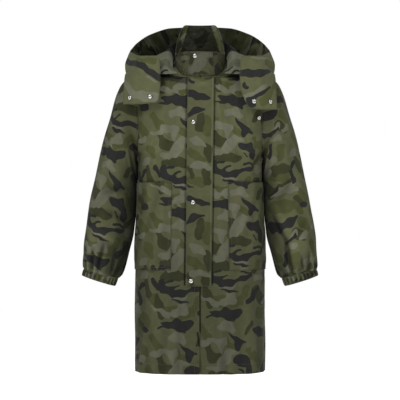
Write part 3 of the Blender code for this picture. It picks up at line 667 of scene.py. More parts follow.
class Wiring:
    """Short calls for making and joining nodes in one tree."""

    def __init__(self, tree: Tree) -> None:
        """Keeps the tree that the nodes go into."""
        self.tree = tree

    def node(self, kind: str, **settings: object) -> Node:
        """Adds a node and sets its properties."""
        made = self.tree.nodes.new(kind)
        for name, value in settings.items():
            setattr(made, name, value)
        return made

    def feed(self, socket: Socket, value: object) -> None:
        """Joins a socket to another one, or sets it to a plain value."""
        if isinstance(value, Socket):
            self.tree.links.new(value, socket)
        elif value is not None:
            socket.default_value = value

    def math(self, operation: str, *values: object, clamp: bool = False) -> Socket:
        """Adds a Math node and returns its result."""
        made = self.node("ShaderNodeMath", operation=operation, use_clamp=clamp)
        for socket, value in zip(made.inputs, values):
            self.feed(socket, value)
        return made.outputs[0]

    def fill(self, made: Node, **values: object) -> Node:
        """Feeds a node's named inputs; an underscore in a name stands for a space."""
        for name, value in values.items():
            self.feed(made.inputs[name.replace("_", " ")], value)
        return made

    def place(self, group: Tree, **values: object) -> Node:
        """Places a node group and feeds its inputs."""
        return self.fill(self.node("ShaderNodeGroup", node_tree=group), **values)

    def mix(self, share: object, first: object, second: object, blend: str = "MIX") -> Socket:
        """Adds a colour Mix node and returns its result."""
        made = self.node("ShaderNodeMix", data_type="RGBA", blend_type=blend)
        for key, value in (("Factor", share), (6, first), (7, second)):
            self.feed(made.inputs[key], value)
        return made.outputs[2]

    def ranged(self, value: object, low: float, high: float, to_low: float, to_high: float,
               kind: str = "SMOOTHSTEP") -> Socket:
        """Adds a Map Range node and returns its result."""
        made = self.node("ShaderNodeMapRange", interpolation_type=kind)
        for socket, given in zip(made.inputs, (value, low, high, to_low, to_high)):
            self.feed(socket, given)
        return made.outputs[0]

    def noise(self, vector: object, scale: object, detail: float = 2.0, distortion: float = 0.0,
              roughness: float = 0.5) -> Socket:
        """Adds a Noise Texture and returns its value."""
        return self.fill(self.node("ShaderNodeTexNoise"), Vector=vector, Scale=scale, Detail=detail,
                         Roughness=roughness, Distortion=distortion).outputs[0]

    def bump(self, height: object, distance: float, strength: float = 1.0,
             normal: object = None) -> Socket:
        """Adds a Bump node and returns its normal."""
        return self.fill(self.node("ShaderNodeBump"), Strength=strength, Distance=distance, Height=height,
                         Normal=normal).outputs[0]

    def carried(self, name: str) -> Socket:
        """Adds an Attribute node and returns the number that the mesh carries."""
        return self.node("ShaderNodeAttribute", attribute_name=name).outputs["Fac"]

    def parts(self, vector: object) -> Node:
        """Adds a Separate XYZ node."""
        return self.fill(self.node("ShaderNodeSeparateXYZ"), Vector=vector)


def new_group(name: str, inputs: dict[str, str], outputs: dict[str, str]) -> tuple[
        Tree, Wiring, Node, Node]:
    """Makes an empty shader node group.

    Args:
        name: The group's name.
        inputs: Socket type of each named input.
        outputs: Socket type of each named output.

    Returns:
        The group, its wiring, its input node and its output node.
    """
    tree = bpy.data.node_groups.new(name, "ShaderNodeTree")
    for where, sockets in (("INPUT", inputs), ("OUTPUT", outputs)):
        for label, kind in sockets.items():
            tree.interface.new_socket(name=label, in_out=where, socket_type="NodeSocket" + kind)
    wiring = Wiring(tree)
    return tree, wiring, wiring.node("NodeGroupInput"), wiring.node("NodeGroupOutput")


def print_group() -> Tree:
    """Group that prints the four colours over the ground, each inside its own edge."""
    tones = [tone.name.title() for tone in Tone]
    inputs = {"Vector": "Vector", "Edge Blur": "Float", "Edge Roughness": "Float", "Ground Color": "Color"}
    inputs |= {tone: "Float" for tone in tones} | {tone + " Color": "Color" for tone in tones}
    tree, wiring, given, out = new_group("field_print", inputs, {"Color": "Color"})
    grain = wiring.math("SUBTRACT", wiring.noise(given.outputs["Vector"], 260.0, 2.0), 0.5)
    ragged = wiring.math("MULTIPLY", grain, given.outputs["Edge Roughness"])
    colour = given.outputs["Ground Color"]
    for tone in tones:
        away = wiring.math("ADD", given.outputs[tone], ragged)
        away = wiring.math("DIVIDE", away, given.outputs["Edge Blur"])
        inside = wiring.ranged(away, -1.0, 1.0, 1.0, 0.0)
        colour = wiring.mix(inside, colour, given.outputs[tone + " Color"])
    wiring.fill(out, Color=colour)
    return tree


def weave_group() -> Tree:
    """Group for a fine plain weave: height of the threads, and how light they are."""
    tree, wiring, given, out = new_group("fine_weave", {"Vector": "Vector", "Threads": "Float"},
                                         {"Height": "Float", "Tone": "Float"})
    vector, threads = given.outputs["Vector"], given.outputs["Threads"]
    parts = wiring.parts(vector)
    turns = [wiring.math("MULTIPLY", wiring.math("MULTIPLY", parts.outputs[axis], threads), 2 * math.pi)
             for axis in range(2)]
    warp, weft = (wiring.math("SINE", turn) for turn in turns)
    height = wiring.math("MULTIPLY_ADD", wiring.math("MULTIPLY", warp, weft), 0.5, 0.5)
    slub, uneven = wiring.noise(vector, 700.0), wiring.noise(vector, 55.0, 4.0)
    wiring.fill(out, Height=wiring.math("MULTIPLY_ADD", slub, 0.6, height),
                Tone=wiring.ranged(uneven, 0.25, 0.75, 0.90, 1.10, "LINEAR"))
    return tree


def crumple_group() -> Tree:
    """Group for the cloth's small creases, and its puckers beside sewn edges."""
    inputs = {"Vector": "Vector", "Scale": "Float", "Edge": "Float"}
    tree, wiring, given, out = new_group("soft_creases", inputs, {"Height": "Float", "Pucker": "Float"})
    creased = wiring.noise(given.outputs["Vector"], given.outputs["Scale"], 3.0, 0.5, 0.45)
    ridge = wiring.math("ABSOLUTE", wiring.math("SUBTRACT", creased, 0.5))
    near = wiring.ranged(given.outputs["Edge"], 0.002, 0.016, 1.0, 0.0)
    ripple = wiring.noise(given.outputs["Vector"], 95.0, 1.0, 0.3)
    wiring.fill(out, Height=wiring.math("POWER", wiring.math("MULTIPLY", ridge, 3.0), 0.8),
                Pucker=wiring.math("MULTIPLY", near, ripple))
    return tree


def wear_group() -> Tree:
    """Group for a folded edge, rubbed pale in patches on its very edge."""
    inputs = {"Color": "Color", "Edge": "Float", "Vector": "Vector", "Rub": "Float", "Rub Color": "Color"}
    tree, wiring, given, out = new_group("edge_wear", inputs, {"Color": "Color"})
    patchy = wiring.ranged(wiring.noise(given.outputs["Vector"], 80.0, 3.0), 0.35, 0.65, 0.3, 1.0)
    rim = wiring.ranged(given.outputs["Edge"], 0.0006, 0.0022, 1.0, 0.0)
    rub = wiring.math("MULTIPLY", wiring.math("MULTIPLY", rim, patchy), given.outputs["Rub"])
    wiring.fill(out, Color=wiring.mix(rub, given.outputs["Color"], given.outputs["Rub Color"]))
    return tree


@dataclass(frozen=True)
class Effects:
    """The shader groups that several materials use."""

    printed: Tree
    weave: Tree
    crumple: Tree
    wear: Tree

    @classmethod
    def made(cls) -> "Effects":
        """Makes each group once."""
        return cls(print_group(), weave_group(), crumple_group(), wear_group())


def new_material(name: str) -> tuple[Material, Wiring, Node]:
    """Makes a material and returns it with its wiring and its Principled shader."""
    material = bpy.data.materials.new(name)
    material.use_nodes = True
    return material, Wiring(material.node_tree), material.node_tree.nodes["Principled BSDF"]


class Band(NamedTuple):
    """A narrow strip of cloth made darker or lighter along a leaning line: x = offset + slope * z; the darker ones
    are painted shadow.
    """

    offset: float
    slope: float
    reach: float
    light: float
    top: float = 1.0
    bottom: float = -2.0


@dataclass(frozen=True)
class ClothFinish:
    """Printed cotton: five colours, a fine weave, small creases and rubbed edges, with painted light and shade."""

    name: str
    ground: tuple = paint(94, 96, 67)
    leaf: tuple = paint(79, 82, 48)
    forest: tuple = paint(60, 62, 38)
    pale: tuple = paint(111, 111, 93)
    coal: tuple = paint(42, 42, 41)
    rubbed: tuple = paint(132, 134, 110)
    rub: float = 0.35
    creases: float = 0.0016
    crease_scale: float = 15.0
    threads: float = 900.0
    edge_blur: float = 0.22
    edge_roughness: float = 0.9
    pucker: float = 0.0022
    weave_height: float = 0.00012
    # Distances in from the edge over which the painted shade inside the piece's edges fades out.
    edge_shadow_from: float = 0.0010
    edge_shadow_to: float = 0.0045
    roughness: float = 0.74
    # Painted light and shade: level brightens or darkens every colour, making lit and shaded copies of the cloth;
    # the field after it says how dark the painted shade inside the piece's edges is; bands are strips of painted
    # shadow, or of lighter stitching.
    level: float = 1.0
    edge_shadow: float = 0.0
    bands: tuple[Band, ...] = ()

    def build(self, effects: Effects) -> Material:
        """Builds the material.

        Args:
            effects: The shared shader groups.

        Returns:
            The cloth's material.
        """
        material, wiring, shader = new_material(self.name)
        uv = wiring.node("ShaderNodeUVMap", uv_map="cloth").outputs[0]

        edge = wiring.carried("edge")
        printed = wiring.place(effects.printed, Vector=uv, Edge_Blur=self.edge_blur,
                               Edge_Roughness=self.edge_roughness, Ground_Color=dimmed(self.ground, self.level))
        for tone in Tone:
            name, colour = tone.name.title(), getattr(self, tone.name.lower())
            wiring.fill(printed, **{name: wiring.carried(tone.value), name + " Color": dimmed(colour, self.level)})
        worn = wiring.place(effects.wear, Color=printed.outputs[0], Edge=edge, Vector=uv, Rub=self.rub,
                            Rub_Color=self.rubbed)
        weave = wiring.place(effects.weave, Vector=uv, Threads=self.threads)
        crumple = wiring.place(effects.crumple, Vector=uv, Scale=self.crease_scale, Edge=edge)
        # Painted shade: the shade that the mesh carries, the darkening inside the edges and the bands all darken
        # or lighten the printed colours.
        light = wiring.math("MULTIPLY", weave.outputs["Tone"], wiring.carried("shade"))
        if self.edge_shadow:
            near = wiring.ranged(edge, self.edge_shadow_from, self.edge_shadow_to, 1 - self.edge_shadow, 1.0)
            light = wiring.math("MULTIPLY", light, near)
        x, z = wiring.parts(uv).outputs[:2]
        for band in self.bands:
            light = wiring.math("MULTIPLY", light, self._banded(wiring, band, x, z))
        combined = wiring.fill(wiring.node("ShaderNodeCombineColor"), Red=light, Green=light, Blue=light)
        rough = wiring.ranged(wiring.noise(uv, 40.0, 3.0), 0.3, 0.7, self.roughness - 0.06,
                              self.roughness + 0.08, "LINEAR")
        normal = wiring.bump(crumple.outputs["Height"], self.creases, 0.75)
        normal = wiring.bump(crumple.outputs["Pucker"], self.pucker, 0.6, normal)
        normal = wiring.bump(weave.outputs["Height"], self.weave_height, 0.5, normal)
        wiring.fill(shader, Base_Color=wiring.mix(1.0, worn.outputs[0], combined.outputs[0], "MULTIPLY"),
                    Roughness=rough, Normal=normal, Specular_IOR_Level=0.18, Sheen_Weight=0.05,
                    Sheen_Roughness=0.5)
        return material

    @staticmethod
    def _banded(wiring: Wiring, band: Band, x: object, z: object) -> Socket:
        """Light of one band, which is 1 away from it."""
        fade = 0.006
        away = wiring.math("SUBTRACT", x, wiring.math("MULTIPLY_ADD", z, band.slope, band.offset))
        there = wiring.ranged(z, band.top - fade, band.top, band.light - 1.0, 0.0)
        there = wiring.math("MULTIPLY", there, wiring.ranged(z, band.bottom, band.bottom + fade, 0.0, 1.0))
        across = wiring.ranged(wiring.math("ABSOLUTE", away), 0.0, band.reach, 1.0, 0.0)
        return wiring.math("MULTIPLY_ADD", across, there, 1.0)


@dataclass(frozen=True)
class SnapFinish:
    """Nickel-plated snap cap with fine rubbing and a little tarnish."""

    name: str = "snap_nickel"
    bright: tuple = (0.97, 0.96, 0.93, 1.0)
    tarnish: tuple = (0.46, 0.45, 0.40, 1.0)

    def build(self) -> Material:
        """Builds the material on Object coordinates."""
        material, wiring, shader = new_material(self.name)
        place = wiring.node("ShaderNodeTexCoord").outputs["Object"]
        spots = wiring.ranged(wiring.noise(place, 900.0, 3.0), 0.42, 0.72, 0.0, 0.55)
        rough = wiring.ranged(wiring.noise(place, 1500.0), 0.3, 0.7, 0.16, 0.30, "LINEAR")
        wiring.fill(shader, Base_Color=wiring.mix(spots, self.bright, self.tarnish), Metallic=1.0,
                    Roughness=rough, Normal=wiring.bump(wiring.noise(place, 2600.0), 0.00006, 0.4))
        return material


@dataclass(frozen=True)
class PlainFinish:
    """One mottled colour with a faint tooth, for thread and the floor."""

    name: str
    colour: tuple
    mottle: float = 0.10
    scale: float = 400.0
    roughness: float = 0.8
    glow: float = 0.0

    def build(self) -> Material:
        """Builds the material on Object coordinates."""
        material, wiring, shader = new_material(self.name)
        place = wiring.node("ShaderNodeTexCoord").outputs["Object"]
        uneven = wiring.noise(place, self.scale, 3.0)
        rough = wiring.ranged(uneven, 0.0, 1.0, self.roughness - 0.08, self.roughness + 0.08, "LINEAR")
        darker = dimmed(self.colour, 1 - 2 * self.mottle)
        wiring.fill(shader, Base_Color=wiring.mix(uneven, darker, self.colour), Roughness=rough,
                    Normal=wiring.bump(uneven, 0.0001), Specular_IOR_Level=0.2,
                    Emission_Color=self.colour, Emission_Strength=self.glow)
        return material


# ---------------------------------------------------------------- stitches

@dataclass
class Stitching:
    """Rows of stitches along lines of points, made by one Geometry Nodes tree."""

    pitch: float = 0.0042
    stitch: float = 0.0029
    thickness: float = 0.0007
    lines: dict[str, list[Array]] = field(default_factory=dict)

    def add(self, name: str, points: Array) -> None:
        """Adds a line of points to a named run of stitches."""
        self.lines.setdefault(name, []).append(points)

    def _tree(self, material: Material) -> Tree:
        """Tree that sets small rounded stitches along the edges of a mesh."""
        tree = bpy.data.node_groups.new("stitch_run", "GeometryNodeTree")
        face = tree.interface
        face.new_socket(name="Line", in_out="INPUT", socket_type="NodeSocketGeometry")
        for label, value in (("Pitch", self.pitch), ("Stitch Length", self.stitch),
                             ("Thread Thickness", self.thickness)):
            face.new_socket(name=label, in_out="INPUT", socket_type="NodeSocketFloat").default_value = value
        face.new_socket(name="Stitches", in_out="OUTPUT", socket_type="NodeSocketGeometry")
        wiring = Wiring(tree)
        given, out = wiring.node("NodeGroupInput"), wiring.node("NodeGroupOutput")
        thick = given.outputs["Thread Thickness"]
        curve = wiring.fill(wiring.node("GeometryNodeMeshToCurve"), Mesh=given.outputs["Line"])
        spaced = wiring.fill(wiring.node("GeometryNodeResampleCurve", mode="LENGTH"), Curve=curve.outputs[0],
                             Length=given.outputs["Pitch"])
        turn = wiring.fill(wiring.node("FunctionNodeAlignRotationToVector", axis="X"),
                           Vector=wiring.node("GeometryNodeInputTangent").outputs[0])
        bead = wiring.fill(wiring.node("GeometryNodeMeshUVSphere"), Segments=6, Rings=4, Radius=0.5)
        size = wiring.fill(wiring.node("ShaderNodeCombineXYZ"), X=given.outputs["Stitch Length"], Y=thick,
                           Z=thick)
        placed = wiring.fill(wiring.node("GeometryNodeInstanceOnPoints"), Points=spaced.outputs[0],
                             Instance=bead.outputs["Mesh"], Rotation=turn.outputs[0], Scale=size.outputs[0])
        real = wiring.fill(wiring.node("GeometryNodeRealizeInstances"), Geometry=placed.outputs[0])
        dressed = wiring.fill(wiring.node("GeometryNodeSetMaterial"), Geometry=real.outputs[0],
                              Material=material)
        wiring.fill(out, Stitches=dressed.outputs[0])
        return tree

    def build(self, material: Material) -> list[Object]:
        """Builds every run as a plain mesh.

        Args:
            material: Finish of the thread.

        Returns:
            One object for each named run.
        """
        tree = self._tree(material)
        socket = {item.name: item.identifier for item in tree.interface.items_tree if item.in_out == "INPUT"}
        made = []
        for name, lines in self.lines.items():
            points, edges = [], []
            for line in lines:
                start = len(points)
                points += line.tolist()
                edges += [(start + k, start + k + 1) for k in range(len(line) - 1)]
            path = bpy.data.meshes.new(name + "_path")
            path.from_pydata(points, edges, [])
            carrier = put(name + "_path", path)
            modifier = carrier.modifiers.new("stitches", "NODES")
            modifier.node_group = tree
            modifier[socket["Pitch"]] = self.pitch
            modifier[socket["Stitch Length"]] = self.stitch
            modifier[socket["Thread Thickness"]] = self.thickness
            graph = bpy.context.evaluated_depsgraph_get()
            mesh = bpy.data.meshes.new_from_object(carrier.evaluated_get(graph), depsgraph=graph)
            mesh.name = name
            mesh.shade_smooth()
            bpy.data.objects.remove(carrier, do_unlink=True)
            made.append(put(name, mesh))
        return made


# ---------------------------------------------------------------- body

def neck_ring(angle: Array, half_width: float, front: float, back: float, front_z: float, back_z: float,
              square: float = NECK_SQUARE, rise_start: float = NECK_RISE_START,
              rise_span: float = NECK_RISE_SPAN) -> Array:
    """Points on a ring round the neck.

    Args:
        angle: Degrees from the front, positive towards +X; one number or many.
        half_width: Half of the ring's width.
        front: Its depth in front.
        back: Its depth behind.
        front_z: Its height in front.
        back_z: Its height behind.
        square: How square the ring is; 2 is an oval.
        rise_start: Degrees from the front where it starts to climb.
        rise_span: Degrees over which it climbs.

    Returns:
        One point for each angle.
    """
    angle = np.atleast_1d(np.asarray(angle, float))
    turn = np.radians(angle)
    power = 2 / square
    depth = np.where(np.cos(turn) > 0, front, back)
    x = np.sign(np.sin(turn)) * np.abs(np.sin(turn)) ** power * half_width
    y = -np.sign(np.cos(turn)) * np.abs(np.cos(turn)) ** power * depth
    rise = smooth((np.where(angle <= 180, angle, 360 - angle) - rise_start) / rise_span)
    return np.stack([x, y, front_z + (back_z - front_z) * rise], axis=1)


def neck_point(angle: float) -> Array:
    """Point on the body's neck edge."""
    return neck_ring(angle, NECK_HALF_WIDTH, NECK_FRONT_DEPTH, NECK_BACK_DEPTH, FRONT_NECK_Z, BACK_NECK_Z)[0]


FRONT_ROWS = tuple(BodyRow(*row) for row in (
    (HEM_Z, -0.1280, 0, 0.2006, 0.000, HEM_Z, 3.0),
    (-0.642, -0.1270, 0, 0.1995, 0.000, -0.642, 3.0),
    (-0.545, -0.1260, 0, 0.1980, 0.000, -0.545, 3.0),
    (-0.480, -0.1250, 0, 0.1950, 0.000, -0.480, 3.0),
    (-0.373, -0.1235, 0, 0.1915, 0.000, -0.373, 2.9),
    (UNDERARM_Z, -0.1220, 0, 0.1915, 0.000, UNDERARM_Z, 2.8),
    (-0.262, -0.1210, 0, 0.1905, -0.045, -0.275, 2.7),
    (-0.205, -0.1190, 0, 0.1885, -0.076, -0.222, 2.6),
    (-0.140, -0.1135, 0, 0.1885, -0.078, -0.150, 2.5),
    (-0.085, -0.1045, 0, 0.1925, -0.062, -0.098, 2.4),
    (FRONT_NECK_Z, -NECK_FRONT_DEPTH, 0, 0.1965, -0.045, -0.073, 2.2),
    (-0.030, -NECK_FRONT_DEPTH, 55, 0.2000, -0.028, -0.057, 2.1),
    (-0.005, -NECK_FRONT_DEPTH, 90, 0.2050, 0.000, -0.045, 2.0),
))
BACK_ROWS = tuple(BodyRow(*row) for row in (
    (HEM_Z, 0.1280, 180, 0.2006, 0.000, HEM_Z, 3.0),
    (-0.642, 0.1260, 180, 0.1995, 0.000, -0.642, 3.0),
    (-0.545, 0.1250, 180, 0.1980, 0.000, -0.545, 3.0),
    (-0.480, 0.1245, 180, 0.1950, 0.000, -0.480, 3.0),
    (-0.373, 0.1235, 180, 0.1915, 0.000, -0.373, 2.9),
    (UNDERARM_Z, 0.1240, 180, 0.1915, 0.000, UNDERARM_Z, 2.8),
    (-0.262, 0.1250, 180, 0.1910, 0.048, -0.272, 2.7),
    (-0.200, 0.1255, 180, 0.1895, 0.082, -0.215, 2.6),
    (-0.130, 0.1220, 180, 0.1905, 0.085, -0.140, 2.5),
    (-0.060, 0.1110, 180, 0.1955, 0.062, -0.083, 2.4),
    (0.000, 0.0900, 180, 0.2010, 0.032, -0.058, 2.2),
    (BACK_NECK_Z, NECK_BACK_DEPTH, 180, 0.2030, 0.018, -0.051, 2.1),
    (0.052, NECK_BACK_DEPTH, 135, 0.2040, 0.008, -0.047, 2.0),
    (0.066, NECK_BACK_DEPTH, 90, 0.2050, 0.000, -0.045, 2.0),
))


def panel_row(rows: Sequence[BodyRow], neck_v: float, v: float, shares: Sequence) -> Array:
    """Points along one line of a half panel, from its middle or neck edge to its side."""
    row = table_row(rows, v)
    start = neck_point(row.neck_angle) if v > neck_v else np.array([0.0, row.mid_y, v])
    turn = np.linspace(0.0, math.pi / 2, 121)
    across, forward = np.sin(turn) ** (2 / row.square), np.cos(turn) ** (2 / row.square)
    line = np.stack([start[0] + (row.side_x - start[0]) * across,
                     row.side_y + (start[1] - row.side_y) * forward,
                     start[2] + (row.side_z - start[2]) * across], axis=1)
    return even_points(line, shares)


class ShadowStripe(NamedTuple):
    """A stripe of painted shadow on the cloth under a throat piece: its two ends, and how far it reaches."""

    near_x: float
    near_z: float
    far_x: float
    far_z: float
    reach: float

    def light(self, grid: Array) -> Array:
        """Painted light on a grid's points, dimmed on the shadow stripe and fading at its ends."""
        share = (grid[:, :, 0] - self.near_x) / (self.far_x - self.near_x)
        away = np.abs(grid[:, :, 2] - self.near_z - (self.far_z - self.near_z) * share) / self.reach
        depth, fade, near_fade, far_fade = 0.70, 0.30, 0.06, 0.10
        ends = smooth(share / near_fade) * smooth((1 - share) / far_fade)
        return 1 - depth * smooth((1 - away) / fade) * ends


@dataclass
class Body:
    """Two fronts, the back, the patch pockets and the storm flap."""

    half_row: float = 0.285
    columns: int = 77
    back_columns: int = 61
    row_gap: float = 0.0038
    seeds: dict = by_side(11, 23)
    waves: Waves = Waves(0.075, 0.34, 0.0008)
    fine_waves: Waves = Waves(0.030, 0.110, 0.00035)
    low_from: float = -0.62
    low_span: float = 0.30
    low_gain: float = 2.0
    flap_cover: float = 0.052
    pocket_column: float = 0.31
    pocket_side_gap: float = 0.0012
    pocket_puff: float = 0.0022
    pocket_waves: Waves = Waves(0.060, 0.150, 0.0012)
    underlap: tuple = ((0, 0.0085, 0.0034), (1, 0.0020, 0.0030), (2, 0.0, 0.0004))
    throat_stripe: dict = by_side(ShadowStripe(0.130, -0.0540, 0.028, -0.0705, 0.0120),
                                  ShadowStripe(0.083, -0.0600, 0.150, -0.0580, 0.0095))
    flap_lift: float = 0.0012
    flap_top: tuple = (-0.0373, 0.0427)
    flap_bottom: tuple = (-0.0439, 0.0340)
    flap_columns: int = 25
    flap_waves: Waves = Waves(0.045, 0.085, 0.0006)
    flap_folds: tuple = fold_rows(
        (-0.016, -0.082, 0.036, -0.076, 0.006, 0.0022), (0.009, -0.045, 0.032, -0.058, 0.004, -0.0008),
        (-0.012, -0.455, 0.020, -0.475, 0.006, 0.0012), (-0.012, -0.610, 0.018, -0.640, 0.008, -0.0008))
    folds: dict = by_side(
        fold_rows(
            (0.165, -0.150, 0.150, -0.330, 0.012, 0.0022), (0.128, -0.180, 0.130, -0.330, 0.009, -0.0016),
            (0.140, -0.700, 0.150, -0.930, 0.020, 0.0030), (0.062, -0.720, 0.066, -0.950, 0.012, -0.0020),
            (0.104, -0.690, 0.098, -0.900, 0.014, 0.0016), (0.052, -0.240, 0.060, -0.350, 0.010, 0.0012),
            (0.160, -0.340, 0.120, -0.372, 0.006, -0.0014)),
        fold_rows(
            (0.080, -0.070, 0.077, -0.150, 0.006, 0.0030), (0.086, -0.150, 0.084, -0.300, 0.007, 0.0012),
            (0.170, -0.150, 0.160, -0.320, 0.012, 0.0020), (0.150, -0.700, 0.140, -0.930, 0.020, 0.0030),
            (0.060, -0.760, 0.054, -0.950, 0.012, 0.0018), (0.110, -0.700, 0.116, -0.910, 0.013, -0.0020),
            (0.130, -0.210, 0.120, -0.350, 0.010, -0.0014)))
    back_folds: tuple = fold_rows(
        (0.150, -0.200, 0.130, -0.420, 0.018, 0.0035), (0.090, -0.560, 0.100, -0.920, 0.026, 0.0040),
        (0.000, -0.300, 0.000, -0.620, 0.024, -0.0035), (0.050, -0.160, 0.060, -0.330, 0.012, 0.0018),
        (0.160, -0.500, 0.150, -0.760, 0.014, -0.0022), (0.040, -0.780, 0.046, -0.950, 0.016, -0.0024))
    print_at: dict = by_side(
        (Anchor(0, 0, -0.0690, 0.1235), Anchor(0, 0, -0.0632, 0.4700), Anchor(0, 0, -0.0730, 0.8080)),
        (Anchor(0, 0, 0.1030, 0.1235), Anchor(0, 0, 0.0765, 0.4440), Anchor(0, 0, 0.0755, 0.7740)))
    pocket_print: dict = by_side((Anchor(0, 0, -0.0700, 0.4350),), (Anchor(0, 0, 0.1160, 0.3700),))
    flap_print: tuple = (Anchor(95, 0, 0.0000, 0.1160), Anchor(95, 0, -0.0020, 0.4350))
    back_print: tuple = (Anchor(0, 0, 0.0400, 0.2600),)
    armholes: dict = field(default_factory=dict, init=False)

    def _levels(self, top: float, marks: Sequence[float]) -> Array:
        """Heights of a panel's rows, close together and meeting every mark."""
        stops = sorted({HEM_Z, top, *marks})
        parts = [np.linspace(low, high, max(2, math.ceil((high - low) / self.row_gap) + 1))[:-1]
                 for low, high in zip(stops, stops[1:])]
        return np.concatenate(parts + [[top]])

    def _half(self, rows: Sequence[BodyRow], neck_v: float, levels: Array, columns: int,
              folds: Sequence[Fold], facing: int, seed: int) -> tuple[Array, Array, Array]:
        """Works out half a panel at +X.

        Args:
            rows: The panel's table.
            neck_v: Height of its neck edge at the middle.
            levels: Heights of its rows.
            columns: How many points a row has.
            folds: Its folds.
            facing: -1 in front and 1 at the back.
            seed: Number that fixes its soft waves.

        Returns:
            The outer grid, its inward directions, and how far the cloth stands proud at every point.
        """
        shares = np.linspace(0, 1, columns)
        grid = np.stack([panel_row(rows, neck_v, v, shares) for v in levels])
        out = normals(grid)
        out *= np.sign(out[0, 0, 1]) * facing
        across, along = shares[None, :] * self.half_row, levels[:, None]
        low = smooth((self.low_from - along) / self.low_span)
        waves = self.waves.at(across, along, seed) * (1 + self.low_gain * low)
        waves += self.fine_waves.at(across, along, seed + 1)
        calm = smooth((self.half_row - across) / 0.018)
        if facing < 0:
            calm = calm * smooth((across - self.flap_cover) / 0.020)
        relief = (fold_height(folds, across, along, 1.0) + waves) * calm
        grid += out * relief[:, :, None]
        limit = np.minimum if facing < 0 else np.maximum
        grid[:, :, 1] = limit(grid[:, :, 1], facing * SEAM / 2)
        out[levels <= UNDERARM_Z + TINY, -1] = (1.0, 0.0, 0.0)
        out[-1, :, 1] = 0.0
        out /= np.linalg.norm(out, axis=2, keepdims=True)
        return grid, -out, relief

    @staticmethod
    def _light(across: Array, along: Array) -> Array:
        """Light on the body's cloth, less towards the sides and the hem."""
        side_dark, side_from, side_span = 0.28, 0.135, 0.09
        top_light, hem_dark, hem_from, hem_span = 1.05, 0.41, 0.22, 0.60
        side = 1 - side_dark * smooth((np.abs(across) - side_from) / side_span)
        return side * (top_light - hem_dark * smooth((along - hem_from) / hem_span))

    def _front(self, side: Side, levels: Array) -> dict[str, Sheet]:
        """One front and its pocket; the front's armhole edge is kept for the sleeve."""
        grid, inward, relief = self._half(FRONT_ROWS, FRONT_NECK_Z, levels, self.columns, self.folds[side],
                                          -1, self.seeds[side])
        grid[:, 0, 0] = np.maximum(grid[:, 0, 0], CENTRE_GAP / 2)
        self.armholes[side] = grid[levels >= UNDERARM_Z - TINY, -1]
        across = (run_lengths(grid, 1) + CENTRE_GAP / 2) * side.value
        along = -np.broadcast_to(levels[:, None], across.shape)
        shade = self._light(across, along) * in_relief(relief) * self.throat_stripe[side].light(grid)
        front = Sheet("cloth_front_" + side.word, on_side(grid, side), on_side(inward, side),
                      self.print_at[side], across, along, shade=shade)
        pocket = self._pocket(side, front, grid, inward, levels)
        if side is Side.LEFT:
            for column, over, behind in self.underlap:
                front.grid[:, column] += (-over, behind, 0.0)
                front.across[:, column] -= over
        return {"front_" + side.word: front, "pocket_" + side.word: pocket}

    def _pocket(self, side: Side, front: Sheet, grid: Array, inward: Array,
                levels: Array) -> Sheet:
        """Patch pocket that follows its front, closed flat and slightly puffed.

        Args:
            side: The wearer's side.
            front: The front that it is sewn to.
            grid: The front's outer grid at +X.
            inward: The grid's inward directions.
            levels: Heights of the grid's rows.

        Returns:
            The sheet.
        """
        low, high = (int(np.argmin(np.abs(levels - z))) for z in (POCKET_BOTTOM_Z, POCKET_TOP_Z))
        part = slice(low, high + 1), slice(round(self.pocket_column * (self.columns - 1)), None)
        patch = grid[part] - inward[part] * (LIFT + WALL)
        u = (np.arange(patch.shape[1]) * self.half_row / (self.columns - 1))[None, :]
        w = (levels[part[0]] - POCKET_BOTTOM_Z)[:, None]
        puff = smooth(u / 0.035) * smooth(w / 0.035) * smooth((0.195 - u) / 0.05)
        slack = self.pocket_waves.at(u, w, 41 + side.value)
        patch -= inward[part] * (puff * (self.pocket_puff + slack))[:, :, None]
        patch[:, -1, 1] = -self.pocket_side_gap
        return Sheet("cloth_pocket_" + side.word, on_side(patch, side), on_side(inward[part], side),
                     self.pocket_print[side], front.across[part], front.along[part],
                     shade=front.shade[part] * in_relief(slack * puff / 1.2, FINE_RELIEF))

    def _back(self) -> Sheet:
        """The back from side seam to side seam as one grid; above the neck edge its halves part."""
        levels = self._levels(BACK_ROWS[-1].v, (UNDERARM_Z, BACK_NECK_Z))
        half, inward, relief = self._half(BACK_ROWS, BACK_NECK_Z, levels, self.back_columns, self.back_folds,
                                          1, 37)
        self.armholes["back"] = half[levels >= UNDERARM_Z - TINY, -1]
        grid, ways = (np.concatenate([mirrored(part)[:, ::-1], part], axis=1) for part in (half, inward))
        across = run_lengths(half, 1)
        across = np.concatenate([-across[:, ::-1], across], axis=1)
        relief = np.concatenate([relief[:, ::-1], relief], axis=1)
        along = -np.broadcast_to(levels[:, None], across.shape)
        neck_row = int(np.argmin(np.abs(levels - BACK_NECK_Z)))
        return Sheet("cloth_back", grid, ways, self.back_print, across, along,
                     shade=self._light(across, along) * in_relief(relief),
                     parted=(neck_row, self.back_columns))

